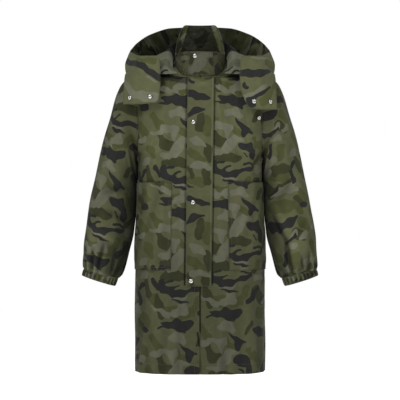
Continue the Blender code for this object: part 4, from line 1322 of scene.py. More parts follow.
    def _flap(self, front_levels: Array) -> Sheet:
        """Flap over the centre front; it leans slightly, as its edges' places say."""
        levels = front_levels[(front_levels >= FLAP_BOTTOM_Z - TINY) & (front_levels <= FLAP_TOP_Z + TINY)]
        levels = np.unique(np.concatenate([[FLAP_BOTTOM_Z], levels, [FLAP_TOP_Z]]))
        grid = []
        for v in levels:
            share = (v - FLAP_BOTTOM_Z) / (FLAP_TOP_Z - FLAP_BOTTOM_Z)
            low, high = (a + (b - a) * share for a, b in zip(self.flap_bottom, self.flap_top))
            x = np.linspace(low, high, self.flap_columns)
            line = panel_row(FRONT_ROWS, FRONT_NECK_Z, v, np.linspace(0, 1, 121))
            y = np.interp(np.abs(x), line[:, 0], line[:, 1])
            grid.append(np.stack([x, y - self.flap_lift - WALL, np.full(len(x), v)], axis=1))
        grid = np.array(grid)
        inward = facing_front(grid)
        across, along = grid[:, :, 0].copy(), -grid[:, :, 2]
        rumple = self.flap_waves.at(across, along, 71) + 0.0007
        rumple = (rumple + fold_height(self.flap_folds, across, -along, 1.0)) * arch(self.flap_columns, 0.7)
        shade = self._light(across, along) * in_relief(rumple - 0.0009, FINE_RELIEF)
        return Sheet("cloth_storm_flap", grid - inward * rumple[:, :, None], inward, self.flap_print, across,
                     along, shade=shade, printed=TRIM_PRINT)

    def build(self) -> dict[str, Sheet]:
        """Works out every sheet of the body, by the node that each stands for."""
        levels = self._levels(FRONT_ROWS[-1].v, (POCKET_BOTTOM_Z, POCKET_TOP_Z, UNDERARM_Z, FRONT_NECK_Z))
        sheets = {}
        for side in Side:
            sheets |= self._front(side, levels)
        return sheets | {"back": self._back(), "storm_flap": self._flap(levels)}


# ---------------------------------------------------------------- sleeves

def ring_points(ring: Ring, count: int) -> Array:
    """Oval section of the sleeve, its first point on the inner line, its next towards the front."""
    turn = np.linspace(0, 2 * math.pi, count, endpoint=False)
    middle = np.array([(ring.outer_x + ring.inner_x) / 2, ring.centre_y, (ring.outer_z + ring.inner_z) / 2])
    half = np.array([(ring.outer_x - ring.inner_x) / 2, 0.0, (ring.outer_z - ring.inner_z) / 2])
    depth = np.array([0.0, -ring.half_depth, 0.0])
    return middle - np.outer(np.cos(turn), half) + np.outer(np.sin(turn), depth)


@dataclass
class Sleeves:
    """Both sleeves and their gathered elastic cuffs."""

    around: int = 150
    steps: int = 190
    cuff_steps: int = 13
    gathers: int = 13
    gather_depth: float = 0.0062
    gather_start: float = 0.76
    gather_end: float = 0.960
    press: float = 0.0015
    inner_dark: dict = by_side(0.86, 0.66)
    inner_reach: dict = by_side(80.0, 58.0)
    waves: tuple = ((3, 1.2, 0.3), (4, -2.1, 1.7), (6, 2.8, 0.9), (9, -1.9, 2.2))
    wave_height: float = 0.00055
    cap_waves: float = 0.3
    low_from: float = 0.66
    low_span: float = 0.14
    end_calm: float = 0.55
    press_angle: float = 30.0
    outer_dark: float = 0.50
    outer_angle: float = 24.0
    low_dark: float = 0.14
    low_relief: float = 75.0
    relief: float = 95.0
    pleats: int = 23
    ruffle_height: float = 0.0024
    cap_calm: float = 0.08
    inner_calm: float = 38.0
    fold_scale: float = 460.0
    grain: tuple = (0.279, 0.0, -0.960)
    rings: tuple = (
        Ring(0.06, 0.2356, -0.0640, 0.1936, -0.303, 0.002, 0.084),
        Ring(0.12, 0.2573, -0.1014, 0.1938, -0.320, 0.001, 0.084),
        Ring(0.22, 0.2790, -0.1758, 0.1938, -0.347, 0.000, 0.081),
        Ring(0.34, 0.3035, -0.2620, 0.1940, -0.377, -0.002, 0.077),
        Ring(0.48, 0.3258, -0.3680, 0.1968, -0.420, -0.006, 0.073),
        Ring(0.60, 0.3413, -0.4455, 0.1996, -0.480, -0.012, 0.071),
        Ring(0.69, 0.3505, -0.5000, 0.2034, -0.528, -0.017, 0.069),
        Ring(0.80, 0.3585, -0.5670, 0.2165, -0.582, -0.024, 0.066),
        Ring(0.89, 0.3590, -0.6070, 0.2300, -0.629, -0.030, 0.060),
        Ring(0.96, 0.3580, -0.6310, 0.2415, -0.656, -0.033, 0.053),
        Ring(1.00, 0.3569, -0.6408, 0.2511, -0.6690, -0.034, 0.044),
    )
    cuff_top: Ring = Ring(0.0, 0.3571, -0.6412, 0.2513, -0.6694, -0.034, 0.044)
    cuff_bottom: Ring = Ring(1.0, 0.3627, -0.6610, 0.2606, -0.6938, -0.036, 0.044)
    folds: dict = by_side(
        fold_rows(
            (60, 0.10, 24, 0.26, 7, 0.0060), (74, 0.18, 30, 0.36, 8, 0.0050),
            (44, 0.22, 22, 0.34, 5, -0.0035), (52, 0.44, 118, 0.52, 10, -0.0050),
            (40, 0.64, 112, 0.60, 9, -0.0045), (128, 0.70, 62, 0.76, 8, 0.0045),
            (64, 0.80, 58, 0.97, 5, -0.0060), (96, 0.78, 104, 0.97, 5, -0.0060),
            (124, 0.80, 122, 0.97, 5, -0.0050), (84, 0.55, 74, 0.72, 6, 0.0025),
            (300, 0.20, 330, 0.36, 12, 0.0060), (250, 0.46, 310, 0.56, 11, -0.0050),
            (220, 0.62, 290, 0.70, 10, 0.0045)),
        fold_rows(
            (62, 0.12, 26, 0.28, 7, 0.0050), (44, 0.60, 72, 0.75, 6, -0.0085),
            (72, 0.75, 66, 0.95, 6, -0.0085), (58, 0.56, 88, 0.72, 8, 0.0045),
            (92, 0.74, 88, 0.93, 8, 0.0035), (112, 0.44, 66, 0.52, 10, -0.0035),
            (134, 0.66, 100, 0.72, 9, -0.0030), (128, 0.84, 130, 0.97, 5, -0.0045),
            (104, 0.86, 106, 0.97, 4, -0.0035), (296, 0.18, 326, 0.34, 12, 0.0060),
            (246, 0.50, 304, 0.58, 11, -0.0050), (228, 0.66, 286, 0.72, 10, 0.0045)))
    marks: dict = by_side((0.0, 0.0, -0.2745, -0.2870), (50.0, 19.5, 0.2500, -0.5075))

    def _hole(self, front: Array, back: Array) -> Array:
        """Closed line round the armhole from the underarm by way of the front."""
        shares = np.linspace(0, 1, self.around // 2 + 1)
        line = np.concatenate([even_points(front, shares)[:-1], even_points(back, shares)[:0:-1]])
        line[[0, self.around // 2], 1] = 0.0
        return line + np.array([2 * SEAM, 0.0, 0.0])

    def _spread(self, grid: Array) -> tuple[Array, Array]:
        """Flat places across and down the arm's grain of a closed grid, its closing column added."""
        wide = np.concatenate([grid, grid[:, :1]], axis=1)
        grain = np.array(self.grain)
        steps = np.diff(wide, axis=1)
        down = steps @ grain
        over = np.sqrt(np.maximum((steps ** 2).sum(axis=2) - down ** 2, 0.0))
        across = np.concatenate([np.zeros((len(wide), 1)), np.cumsum(over, axis=1)], axis=1)
        return across - across[:, self.around // 2][:, None], wide @ grain

    def _gather(self, angle: Array, v: Array, seed: float) -> Array:
        """Height of the small folds that the elastic draws up, sharp at their crests."""
        phase = np.radians(angle) * self.gathers + 0.9 * np.sin(np.radians(angle) * 3 + seed)
        phase = phase + 0.5 * np.sin(np.radians(angle) * 7 + 2 * seed)
        crest = 1 - 1.6 * np.abs(np.sin(phase / 2)) ** 0.8
        rise = smooth((v - self.gather_start) / (self.gather_end - self.gather_start)) ** 1.4
        uneven = 0.75 + 0.25 * np.sin(np.radians(angle) * 5 + seed)
        return self.gather_depth * rise * crest * uneven

    def _height(self, side: Side, angle: Array, v: Array) -> Array:
        """How far a sleeve's cloth stands proud, calm at its cap and along its upper inner line."""
        height = fold_height(self.folds[side], angle, v, self.fold_scale)
        height = height + self._gather(angle, v, 1.0 + side.value)
        height = height * (1 - self.end_calm * smooth((v - self.gather_end) / (1 - self.gather_end)))
        waves = sum(np.sin(k * np.radians(angle) + 9.0 * m * v + phase + side.value)
                    for k, m, phase in self.waves)
        height = height + self.wave_height * waves * smooth(v / self.cap_waves)
        calm = np.maximum(smooth(np.minimum(angle, 360 - angle) / self.inner_calm), self._low(v))
        return height * calm * smooth(v / self.cap_calm)

    def _low(self, v: Array) -> Array:
        """Share of the lower sleeve, where its folds are strongest."""
        return smooth((v - self.low_from) / self.low_span)

    def _light(self, side: Side, angle: Array, v: Array, height: Array) -> Array:
        """Light on a sleeve: darker along its inner and outer lines, and in its valleys."""
        inner = np.exp(-(np.minimum(angle, 360 - angle) / self.inner_reach[side]) ** 3)
        shade = 1.0 - self.inner_dark[side] * inner * smooth((v + 0.04) / 0.16)
        shade = shade * (1 - self.low_dark * smooth((v - 0.6) / 0.4))
        shade = shade * (1 - self.outer_dark * np.exp(-((angle - 180) / self.outer_angle) ** 2))
        return shade * in_relief(height, self.relief + self.low_relief * self._low(v))

    def _sleeve(self, side: Side, hole: Array) -> Sheet:
        """One sleeve from the armhole to its gathered end."""
        knots = [0.0] + [ring.v for ring in self.rings]
        sections = np.stack([hole] + [ring_points(ring, self.around) for ring in self.rings])
        v = np.linspace(0, 1, self.steps)[:, None]
        grid = ease(knots, sections, v[:, 0])
        out = normals(grid, closed=True)
        out *= np.sign(out[self.steps // 3, self.around // 2, 0])
        angle = 360 * np.arange(self.around)[None, :] / self.around
        height = self._height(side, angle, v)
        grid = grid + out * height[:, :, None]
        touch = smooth(v / 0.15) * smooth((0.68 - v) / 0.10)
        touch = touch * np.exp(-(np.minimum(angle, 360 - angle) / self.press_angle) ** 2)
        grid[:, :, 0] -= self.press * touch
        across, along = self._spread(grid)
        across = across * side.value
        placed = on_side(grid, side)
        chart_x, chart_y, x, z = self.marks[side]
        near = np.hypot(placed[:, :self.around // 2, 0] - x, placed[:, :self.around // 2, 2] - z)
        i, j = np.unravel_index(int(np.argmin(near)), near.shape)
        mark = (Anchor(chart_x, chart_y, across[i, j], along[i, j]),)
        return Sheet("cloth_sleeve_" + side.word, placed, on_side(-out, side), mark, across, along,
                     closed=True, shade=self._light(side, angle, v, height))

    def _cuff(self, side: Side) -> Sheet:
        """Elastic casing at the sleeve's end, finely ruffled."""
        ends = np.stack([ring_points(ring, self.around) for ring in (self.cuff_top, self.cuff_bottom)])
        grid = ease([0.0, 1.0], ends, np.linspace(0, 1, self.cuff_steps))
        out = normals(grid, closed=True)
        out *= np.sign(out[0, self.around // 2, 0])
        angle = np.radians(360 * np.arange(self.around)[None, :] / self.around)
        phase = angle * self.pleats + 1.1 * np.sin(3 * angle + side.value) + 0.6 * np.sin(7 * angle)
        ruffle = 1 - 1.7 * np.abs(np.sin(phase / 2)) ** 0.7
        ruffle = ruffle * (0.25 + 0.75 * arch(self.cuff_steps, 0.6))[:, None]
        grid = grid + out * (ruffle * self.ruffle_height)[:, :, None]
        across, along = self._spread(grid)
        # Painted shade on the ruffles: darker in their valleys, lighter on their crests.
        return Sheet("cloth_cuff_" + side.word, on_side(grid, side), on_side(-out, side),
                     (Anchor(20, 40, 0.0, 0.0),), across * side.value * 1.5, along, closed=True,
                     shade=0.76 + 0.64 * ruffle)

    def build(self, body: Body) -> dict[str, Sheet]:
        """Works out the sleeves and cuffs.

        Args:
            body: The body, already built, whose armholes they are set in.

        Returns:
            The sheets by the node that each stands for.
        """
        sheets = {}
        for side in Side:
            hole = self._hole(body.armholes[side], body.armholes["back"])
            sheets["sleeve_" + side.word] = self._sleeve(side, hole)
            sheets["cuff_" + side.word] = self._cuff(side)
        return sheets


# ---------------------------------------------------------------- collar

@dataclass
class Collar:
    """Stand collar, open by a slit at the centre front, and the tab over the slit."""

    around: int = 151
    rows: tuple = (
        CollarRow(0.00, 0.0766, 0.0986, 0.0696, -0.0538, 0.0392, 2.5, 20.0, 125.0),
        CollarRow(0.45, 0.0766, 0.1010, 0.0680, -0.0205, 0.0760, 2.4, 44.0, 96.0),
        CollarRow(1.00, 0.0750, 0.1000, 0.0640, 0.0200, 0.1190, 2.1, 80.0, 66.0),
    )
    steps: int = 25
    tab_right: float = -0.0345
    tab_left: float = 0.0425
    tab_lift: float = 0.0012
    tab_span: tuple = (0.05, 0.985)
    tab_cover: float = 0.048
    waves: Waves = Waves(0.022, 0.030, 0.0008)
    tab_waves: Waves = Waves(0.018, 0.026, 0.0007)
    lit_from: float = 0.0655
    lit_lean: float = 0.31

    def _ring(self, share: float, angle: Sequence, spread: float = 0.0) -> Array:
        """Points on the collar's outer face; spread moves them out from the neck."""
        row = table_row(self.rows, share)
        reach = (size + spread for size in (row.half_width, row.front_depth, row.back_depth))
        return neck_ring(angle, *reach, *row[4:])

    @staticmethod
    def _angle(x: float) -> float:
        """Angle on the front of the ring at a distance x from the centre line."""
        turn = math.degrees(math.asin((abs(x) / NECK_HALF_WIDTH) ** (NECK_SQUARE / 2)))
        return math.copysign(turn, x)

    def _stand(self) -> Sheet:
        """The collar round the neck, from one side of the slit to the other."""
        slit = self._angle(CENTRE_GAP / 2)
        angles, shares = np.linspace(slit, 360 - slit, 361), np.linspace(0, 1, self.around)
        grid = np.stack([even_points(self._ring(step, angles), shares)
                         for step in np.linspace(0, 1, self.steps)])
        inward = facing_front(grid)
        across, along = run_lengths(grid, 1), -run_lengths(grid, 0)
        clear = smooth((np.minimum(across, across[:, -1:] - across) - self.tab_cover) / 0.012)
        waves = self.waves.at(across, along, 83) * arch(self.steps)[:, None] * clear
        grid = grid - inward * waves[:, :, None]
        # Painted shade inside the collar, and painted light on the inside's side strips near its rim.
        rim = self.lit_from - self.lit_lean * (grid[:, :, 2] - self.rows[-1].front_z)
        lit = smooth((np.abs(grid[:, :, 0]) - rim) / 0.003)
        return Sheet("cloth_collar", grid, inward, (Anchor(2, 42, 0.0, -0.03),), across, along,
                     inner_shade=0.36 + 1.70 * lit)

    def _tab(self) -> Sheet:
        """The tab that lies on the collar's front, over the slit."""
        columns, steps = 27, 23
        angles = [self._angle(x) for x in np.linspace(self.tab_right, self.tab_left, columns)]
        grid = np.stack([self._ring(step, angles, self.tab_lift + WALL)
                         for step in np.linspace(*self.tab_span, steps)])
        inward = facing_front(grid)
        across, along = grid[:, :, 0].copy(), -grid[:, :, 2]
        belly = arch(columns, 0.6) * arch(steps, 0.6)[:, None]
        rumple = (self.tab_waves.at(across, along, 91) + 0.0006) * belly
        return Sheet("cloth_collar_tab", grid - inward * rumple[:, :, None], inward,
                     (Anchor(4, 44, 0.014, 0.005),), across, along)

    def build(self) -> dict[str, Sheet]:
        """Works out the collar and its tab, by the node that each stands for."""
        return {"collar": self._stand(), "collar_tab": self._tab()}


# ---------------------------------------------------------------- hood

@dataclass
class Hood:
    """Open hood that lies round the collar, with its throat pieces and front tabs."""

    stand_off: float = 0.0045
    neck_rise: float = 0.006
    strip_angle: float = 163.0
    side_angle: float = 90.0
    strip_gap: float = 0.02
    profile_steps: int = 121
    side_steps: int = 84
    strip_steps: int = 34
    patch_columns: int = 41
    rows: tuple = (
        HoodRow(90, 0.098, 0.032, 0.155, -0.004, 0.2290, -0.036, 0.2325, -0.012, 0.2170, 0.030),
        HoodRow(101, 0.096, 0.044, 0.150, 0.000, 0.2230, -0.052, 0.2310, -0.002, 0.2190, 0.042),
        HoodRow(112, 0.094, 0.056, 0.145, 0.004, 0.2130, -0.078, 0.2270, 0.000, 0.2170, 0.064),
        HoodRow(130, 0.089, 0.070, 0.140, 0.006, 0.1950, -0.110, 0.2180, -0.006, 0.2050, 0.100),
        HoodRow(150, 0.086, 0.078, 0.134, 0.006, 0.1780, -0.150, 0.2060, -0.030, 0.1860, 0.123),
        HoodRow(180, 0.084, 0.080, 0.128, 0.004, 0.1680, -0.180, 0.2000, -0.048, 0.1650, 0.129),
    )
    throat: tuple = (
        PatchRow(0.00, (0.150, -0.0965, -0.046), (0.104, -0.1035, -0.049), (0.0700, -0.1035, -0.046)),
        PatchRow(0.30, (0.150, -0.084, -0.014), (0.106, -0.0880, -0.012), (0.0838, -0.0780, -0.022)),
        PatchRow(0.60, (0.152, -0.050, 0.004), (0.102, -0.0530, 0.024), (0.0835, -0.0450, 0.002)),
    )
    tab: tuple = (
        PatchRow(0.00, (0.2320, -0.114, -0.1410), (0.1820, -0.131, -0.1420), (0.1290, -0.137, -0.1370)),
        PatchRow(0.08, (0.2320, -0.113, -0.1340), (0.1810, -0.131, -0.1320), (0.1235, -0.137, -0.1240)),
        PatchRow(0.40, (0.2318, -0.086, -0.0860), (0.1790, -0.127, -0.0850), (0.1190, -0.131, -0.0760)),
        PatchRow(0.66, (0.2300, -0.038, -0.0440), (0.1820, -0.112, -0.0330), (0.1200, -0.126, -0.0330)),
    )
    tab_roll: tuple = ((0.1840, -0.098, -0.0080), (0.1225, -0.121, -0.0100))
    tab_wall: tuple = ((0.1860, -0.090, 0.0010), (0.1240, -0.117, -0.0010))
    tab_rim: tuple = ((0.1800, -0.080, 0.0090), (0.1280, -0.113, 0.0060))
    tab_drop: dict = by_side(0.0, 0.016)
    tab_slant: dict = by_side(0.0, 0.020)
    tab_print: dict = by_side((Anchor(150, 0, -0.175, 0.080),), (Anchor(200, 0, 0.187, 0.092),))
    print_top: float = -0.010
    inner_lit: dict = by_side((0.76, 1.30), (0.62, 2.00))
    waves: Waves = Waves(0.070, 0.055, 0.0022)
    fine_waves: Waves = Waves(0.030, 0.026, 0.0006)
    calm_steps: float = 12.0
    calm_neck: float = 0.12
    calm_rim: float = 0.06
    floor_light: float = 0.16
    open_angle: float = 92.0
    patch_waves: Waves = Waves(0.045, 0.060, 0.0012)

    def _neck_out(self, angle: float) -> tuple[float, float]:
        """Distance from the neck's axis to its edge, and the edge's height, in one direction."""
        turn = math.radians(angle)
        depth = NECK_FRONT_DEPTH if math.cos(turn) > 0 else NECK_BACK_DEPTH
        spread = (abs(math.sin(turn)) / NECK_HALF_WIDTH) ** NECK_SQUARE
        spread += (abs(math.cos(turn)) / depth) ** NECK_SQUARE
        out = spread ** (-1 / NECK_SQUARE)
        share = min(out * abs(math.sin(turn)) / NECK_HALF_WIDTH, 1.0)
        ring_angle = math.degrees(math.asin(share ** (NECK_SQUARE / 2)))
        if math.cos(turn) < 0:
            ring_angle = 180 - ring_angle
        return out, float(neck_point(ring_angle)[2])

    def _section(self, angle: float) -> list[tuple[float, float]]:
        """Named points of the hood's upright section in one direction, as pairs of out and height."""
        from_front = angle if angle <= 180 else 360 - angle
        row = table_row(self.rows, from_front)
        out, height = self._neck_out(from_front)
        return [(out + self.stand_off, height + self.neck_rise)] + list(zip(row[1::2], row[2::2]))

    def _piece(self, name: str, start: float, end: float, steps: int, side: Side) -> Sheet:
        """A piece of the hood between two directions."""
        shares = np.linspace(0, 1, self.profile_steps)
        angles = np.linspace(start, end, steps + 1)
        lines = []
        for angle in angles:
            section = np.array(self._section(angle))
            fine = ease(range(len(section)), section, np.linspace(0, len(section) - 1, 201))
            turn = math.radians(angle)
            line = np.stack([fine[:, 0] * math.sin(turn), -fine[:, 0] * math.cos(turn), fine[:, 1]], axis=1)
            lines.append(even_points(line, shares))
        grid = np.stack(lines)
        inward = normals(grid)
        if np.dot(inward[0, -2, :2], grid[0, -2, :2]) > 0:
            inward = -inward
        for place in (0, -1):
            turn = math.radians(angles[place])
            inward[place] = without(inward[place], np.array([math.cos(turn), math.sin(turn), 0.0]))
        across, along = run_lengths(grid, 0), run_lengths(grid, 1)
        ends = np.minimum(np.arange(steps + 1), np.arange(steps + 1)[::-1])[:, None] / self.calm_steps
        calm = smooth(ends) * smooth(shares / self.calm_neck) * smooth((1 - shares) / self.calm_rim)
        seed = steps + side.value
        waves = self.waves.at(across, along, 131 + seed) + self.fine_waves.at(across, along, 151 + seed)
        grid = grid - inward * (waves * calm)[:, :, None]
        # Painted shade on the hood's floor near the neck and on its inside, with painted light on the inside near
        # the rim of its open sides.
        open_side = np.exp(-((np.minimum(angles, 360 - angles) - self.open_angle) / 30.0) ** 2)[:, None]
        lit_from, gain = self.inner_lit[side]
        inner = 0.14 + (0.20 + gain * open_side) * smooth((shares - lit_from) / 0.22)
        return Sheet("cloth_" + name, on_side(grid, side), on_side(inward, side),
                     (Anchor(30, 20, 0.10, 0.20),), across * side.value, along,
                     shade=self.floor_light + (1 - self.floor_light) * smooth((shares - 0.40) / 0.12),
                     inner_shade=inner)

    def _seam_point(self, place: int) -> tuple[float, float, float]:
        """One named point of the hood's section at the side, just in front of the side piece."""
        out, height = self._section(self.side_angle)[place]
        return (out, -2 * SEAM, height)

    def _patch(self, name: str, rows: Sequence[PatchRow], steps: int, side: Side, facing: Sequence[float],
               anchors: Sequence[Anchor], drop: float = 0.0, slant: float = 0.0) -> Sheet:
        """A hood front piece from its table.

        Args:
            name: The node it stands for.
            rows: The piece's table.
            steps: How many rows its grid has.
            side: The wearer's side.
            facing: The way that its hidden side looks.
            anchors: Where its print falls.
            drop: How much lower its bottom edge is than the table says.
            slant: How far its bottom inner corner is moved out.

        Returns:
            The sheet.
        """
        knots = np.array([row.v for row in rows])
        points = np.array([row[1:] for row in rows], float)
        low = 1 - np.clip(knots / 0.5, 0, 1)
        points[:, :, 2] -= drop * low[:, None]
        points[:, 2, 0] += slant * low ** 2
        grid = net(knots, points, np.linspace(0, 1, steps), np.linspace(0, 1, self.patch_columns))
        inward = normals(grid)
        inward *= np.sign(np.dot(inward[steps // 2, self.patch_columns // 2], facing))
        seam = grid[:, :, 1] > -3 * SEAM
        inward[seam] = without(inward[seam], np.array([0.0, 1.0, 0.0]))
        across, along = run_lengths(grid, 1), -run_lengths(grid, 0)
        calm = arch(self.patch_columns, 0.7) * arch(steps, 0.7)[:, None]
        waves = self.patch_waves.at(across, along, 171 + steps + side.value) + 0.0008
        grid = grid - inward * (waves * calm)[:, :, None]
        placed = on_side(grid, side)
        shade = 1.0
        # Painted shadow on the throat piece where it runs up under the hood.
        if "throat" in name:
            under_hood = 0.028 - 0.36 * (grid[:, :, 0] - 0.078)
            shade = 1 - 0.80 * smooth((grid[:, :, 2] - under_hood) / 0.008)
        return Sheet("cloth_" + name, placed, on_side(inward, side), anchors, placed[:, :, 0].copy(),
                     along - along[-1:, :] + self.print_top, shade=shade,
                     printed=TRIM_PRINT if "tab" in name else PRINT)

    def build(self) -> dict[str, Sheet]:
        """Works out every piece of the hood, by the node that each stands for."""
        sheets = {}
        throat = self.throat + (PatchRow(1.0, *(self._seam_point(place) for place in (2, 1, 0))),)
        tab = self.tab + tuple(PatchRow(v, self._seam_point(place), *points) for v, place, points in (
            (0.80, 3, self.tab_roll), (0.91, 4, self.tab_wall), (1.00, 5, self.tab_rim)))
        for side in Side:
            name = "hood_" + side.word
            sheets[name] = self._piece(name, self.side_angle, self.strip_angle - self.strip_gap,
                                       self.side_steps, side)
            name, mark = "hood_throat_" + side.word, Anchor(-1, 46, side.value * 0.108, 0.05)
            sheets[name] = self._patch(name, throat, 41, side, (0, -1, 1), (mark,))
            name = "hood_tab_" + side.word
            sheets[name] = self._patch(name, tab, 65, side, (0, 1, -1), self.tab_print[side],
                                       self.tab_drop[side], self.tab_slant[side])
        start = self.strip_angle + self.strip_gap
        sheets["hood_centre"] = self._piece("hood_centre", start, 360 - start, self.strip_steps, Side.LEFT)
        return sheets


# ---------------------------------------------------------------- snaps

@dataclass
class Snaps:
    """Domed metal snap caps, each turned from a profile on the axis of the solid that it stands for."""

    radius: float = 0.0072
    sides: int = 40
    cap: tuple = ((0.22, 0.0), (0.22, 0.52), (0.27, 0.74), (0.36, 0.92), (0.48, 1.00), (0.62, 0.98),
                  (0.74, 0.86), (0.82, 0.64), (0.85, 0.36), (0.85, 0.0), (0.22, 0.0))
    bed: tuple = ((0.00, 0.26), (0.84, 0.22), (0.88, 0.34), (0.95, 0.36), (1.00, 0.26), (1.00, 0.0),
                  (0.0, 0.0))
    names: tuple = ("snap_collar", "snap_chest", "snap_waist", "snap_lower", "snap_tab_right_outer",
                    "snap_tab_right_inner", "snap_tab_left_inner", "snap_tab_left_outer", "snap_stud_left")

    def _turned(self, name: str, profile: Sequence[tuple[float, float]], place: Array, turn: Array,
                height: float, material: Material) -> Object:
        """Turns a profile round an axis.

        Args:
            name: The new object's name.
            profile: Pairs of share of the radius and share of the height, from the middle of the top.
            place: Middle of the snap's foot.
            turn: Three columns: two directions across the axis, and the axis.
            height: Height of the cap.
            material: Its finish.

        Returns:
            The new object.
        """
        around = np.linspace(0, 2 * math.pi, self.sides, endpoint=False)
        points, rings = [], []
        for share, rise in profile:
            if rings and (share, rise) == tuple(profile[0]):
                rings.append(rings[0])
                continue
            if share == 0:
                rings.append([len(points)] * self.sides)
                points.append([0.0, 0.0, rise * height])
                continue
            rings.append(list(range(len(points), len(points) + self.sides)))
            points += [[math.cos(a) * share * self.radius, math.sin(a) * share * self.radius, rise * height]
                       for a in around]
        faces = []
        for top, low in zip(rings, rings[1:]):
            for k in range(self.sides):
                after = (k + 1) % self.sides
                face = [top[k], low[k], low[after], top[after]]
                faces.append(list(dict.fromkeys(face)))
        return put(name, smooth_mesh(name, np.array(points) @ turn.T + place, faces, 40, material))

    def build(self, metal: Material, dark: Material) -> dict[str, list[Object]]:
        """Builds a cap and its darker bed for every snap, by the node that they stand for."""
        made = {}
        for name in self.names:
            points = np.empty(len(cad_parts[name].data.vertices) * 3)
            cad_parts[name].data.vertices.foreach_get("co", points)
            points = np.unique(points.reshape(-1, 3).round(6), axis=0)
            centre = (points.min(axis=0) + points.max(axis=0)) / 2
            _, _, axes = np.linalg.svd(points - points.mean(axis=0))
            axis = axes[2] * -np.sign(axes[2][1])
            reach = (points - centre) @ axis
            first = np.cross(axis, (0.0, 0.0, 1.0))
            first /= np.linalg.norm(first)
            turn = np.stack([first, np.cross(axis, first), axis], axis=1)
            place = centre + axis * reach.min()
            height = float(reach.max() - reach.min())
            made[name] = [self._turned(name + "_cap", self.cap, place, turn, height, metal),
                          self._turned(name + "_bed", self.bed, place, turn, height, dark)]
        return made


# ---------------------------------------------------------------- where the stitches run

@dataclass
class StitchPlan:
    """Lines of stitches on the finished sheets."""

    sheets: dict[str, Sheet]
    pitch: float = 0.004
    hem: float = 0.030
    edge: float = 0.0055
    wide_edge: float = 0.016
    facing_column: dict = by_side(4.4, 1.3)
    stitching: Stitching = field(default_factory=Stitching)

    def _run(self, node: str, rows: Sequence, columns: Sequence) -> None:
        """Adds a line that passes through pairs of rows and columns of a node's sheet."""
        rows, columns = np.atleast_1d(rows).astype(float), np.atleast_1d(columns).astype(float)
        rows, columns = np.broadcast_arrays(rows, columns)
        share = np.linspace(0, 1, len(rows))
        rough = self.sheets[node].line(rows, columns)
        length = float(np.linalg.norm(np.diff(rough, axis=0), axis=1).sum())
        fine = np.linspace(0, 1, max(4, int(length / self.pitch) + 1))
        at = np.interp(fine, share, rows), np.interp(fine, share, columns)
        self.stitching.add("stitches_" + node, self.sheets[node].line(*at))

    def _row(self, node: str, height: float) -> float:
        """Row of a body sheet at a height."""
        levels = -self.sheets[node].along[:, 0]
        return float(np.interp(height, levels, np.arange(len(levels))))

    def _inset(self, node: str, distance: float) -> tuple[float, float]:
        """How many rows and columns of a sheet a distance takes up."""
        grid = self.sheets[node].grid
        down = float(run_lengths(grid, 0)[-1].mean()) / (grid.shape[0] - 1)
        over = float(run_lengths(grid, 1)[:, -1].mean()) / (grid.shape[1] - 1)
        return distance / down, distance / over

    def _hem(self, node: str, first: float, last: float, count: int) -> None:
        """Stitches along a hem between two columns."""
        self._run(node, self._row(node, HEM_Z + self.hem), np.linspace(first, last, count))

    def _borders(self, *plans: tuple[str, float, str]) -> None:
        """Stitches inside the edges of sheets.

        Args:
            plans: For each, its node, how far inside the edge, and any of f, l, n and x for the first row,
                the last row, the first column and the last column.
        """
        for node, distance, sides in plans:
            rows, columns = self.sheets[node].grid.shape[:2]
            low, near = self._inset(node, distance)
            high, far = rows - 1 - low, columns - 1 - near
            spans = {"f": ((low, low), (near, far)), "l": ((high, high), (near, far)),
                     "n": ((low, high), (near, near)), "x": ((low, high), (far, far))}
            for side in sides:
                self._run(node, *(np.linspace(*span, 60) for span in spans[side]))

    def build(self, thread: Material) -> dict[str, Object]:
        """Builds every run of stitches.

        Args:
            thread: Finish of the thread.

        Returns:
            The runs by the node whose sheet they are on.
        """
        for side in Side:
            front, pocket, sleeve, cuff, hood, throat, tab = (
                word + "_" + side.word
                for word in ("front", "pocket", "sleeve", "cuff", "hood", "hood_throat", "hood_tab"))
            self._hem(front, 0.6, 75.4, 120)
            top = self._row(front, FLAP_BOTTOM_Z - 0.004)
            self._run(front, np.linspace(1, top, 80), self.facing_column[side])
            self._borders((pocket, 0.0025, "fnl"), (pocket, 0.0085, "fn"), (pocket, 0.022, "l"))
            for node, row in ((sleeve, 2.4), (cuff, 2.0), (cuff, 10.0)):
                self._run(node, row, np.linspace(0, self.sheets[node].grid.shape[1], 160))
            self._borders((tab, self.edge, "fnxl"), (hood, self.edge, "nf"), (hood, self.wide_edge, "x"),
                          (throat, self.edge, "x"))
        self._borders(("hood_centre", self.edge, "fl"), ("hood_centre", self.wide_edge, "x"))
        half = self.sheets["back"].grid.shape[1] / 2
        self._hem("back", 0.6, half - 1.2, 90)
        self._hem("back", half + 0.2, 2 * half - 1.6, 90)
        self._borders(("storm_flap", 0.0030, "fn"), ("storm_flap", 0.0045, "x"), ("collar", 0.0040, "lf"),
                      ("collar_tab", 0.0035, "lnx"))
        return {run.name.removeprefix("stitches_"): run for run in self.stitching.build(thread)}


# ---------------------------------------------------------------- studio

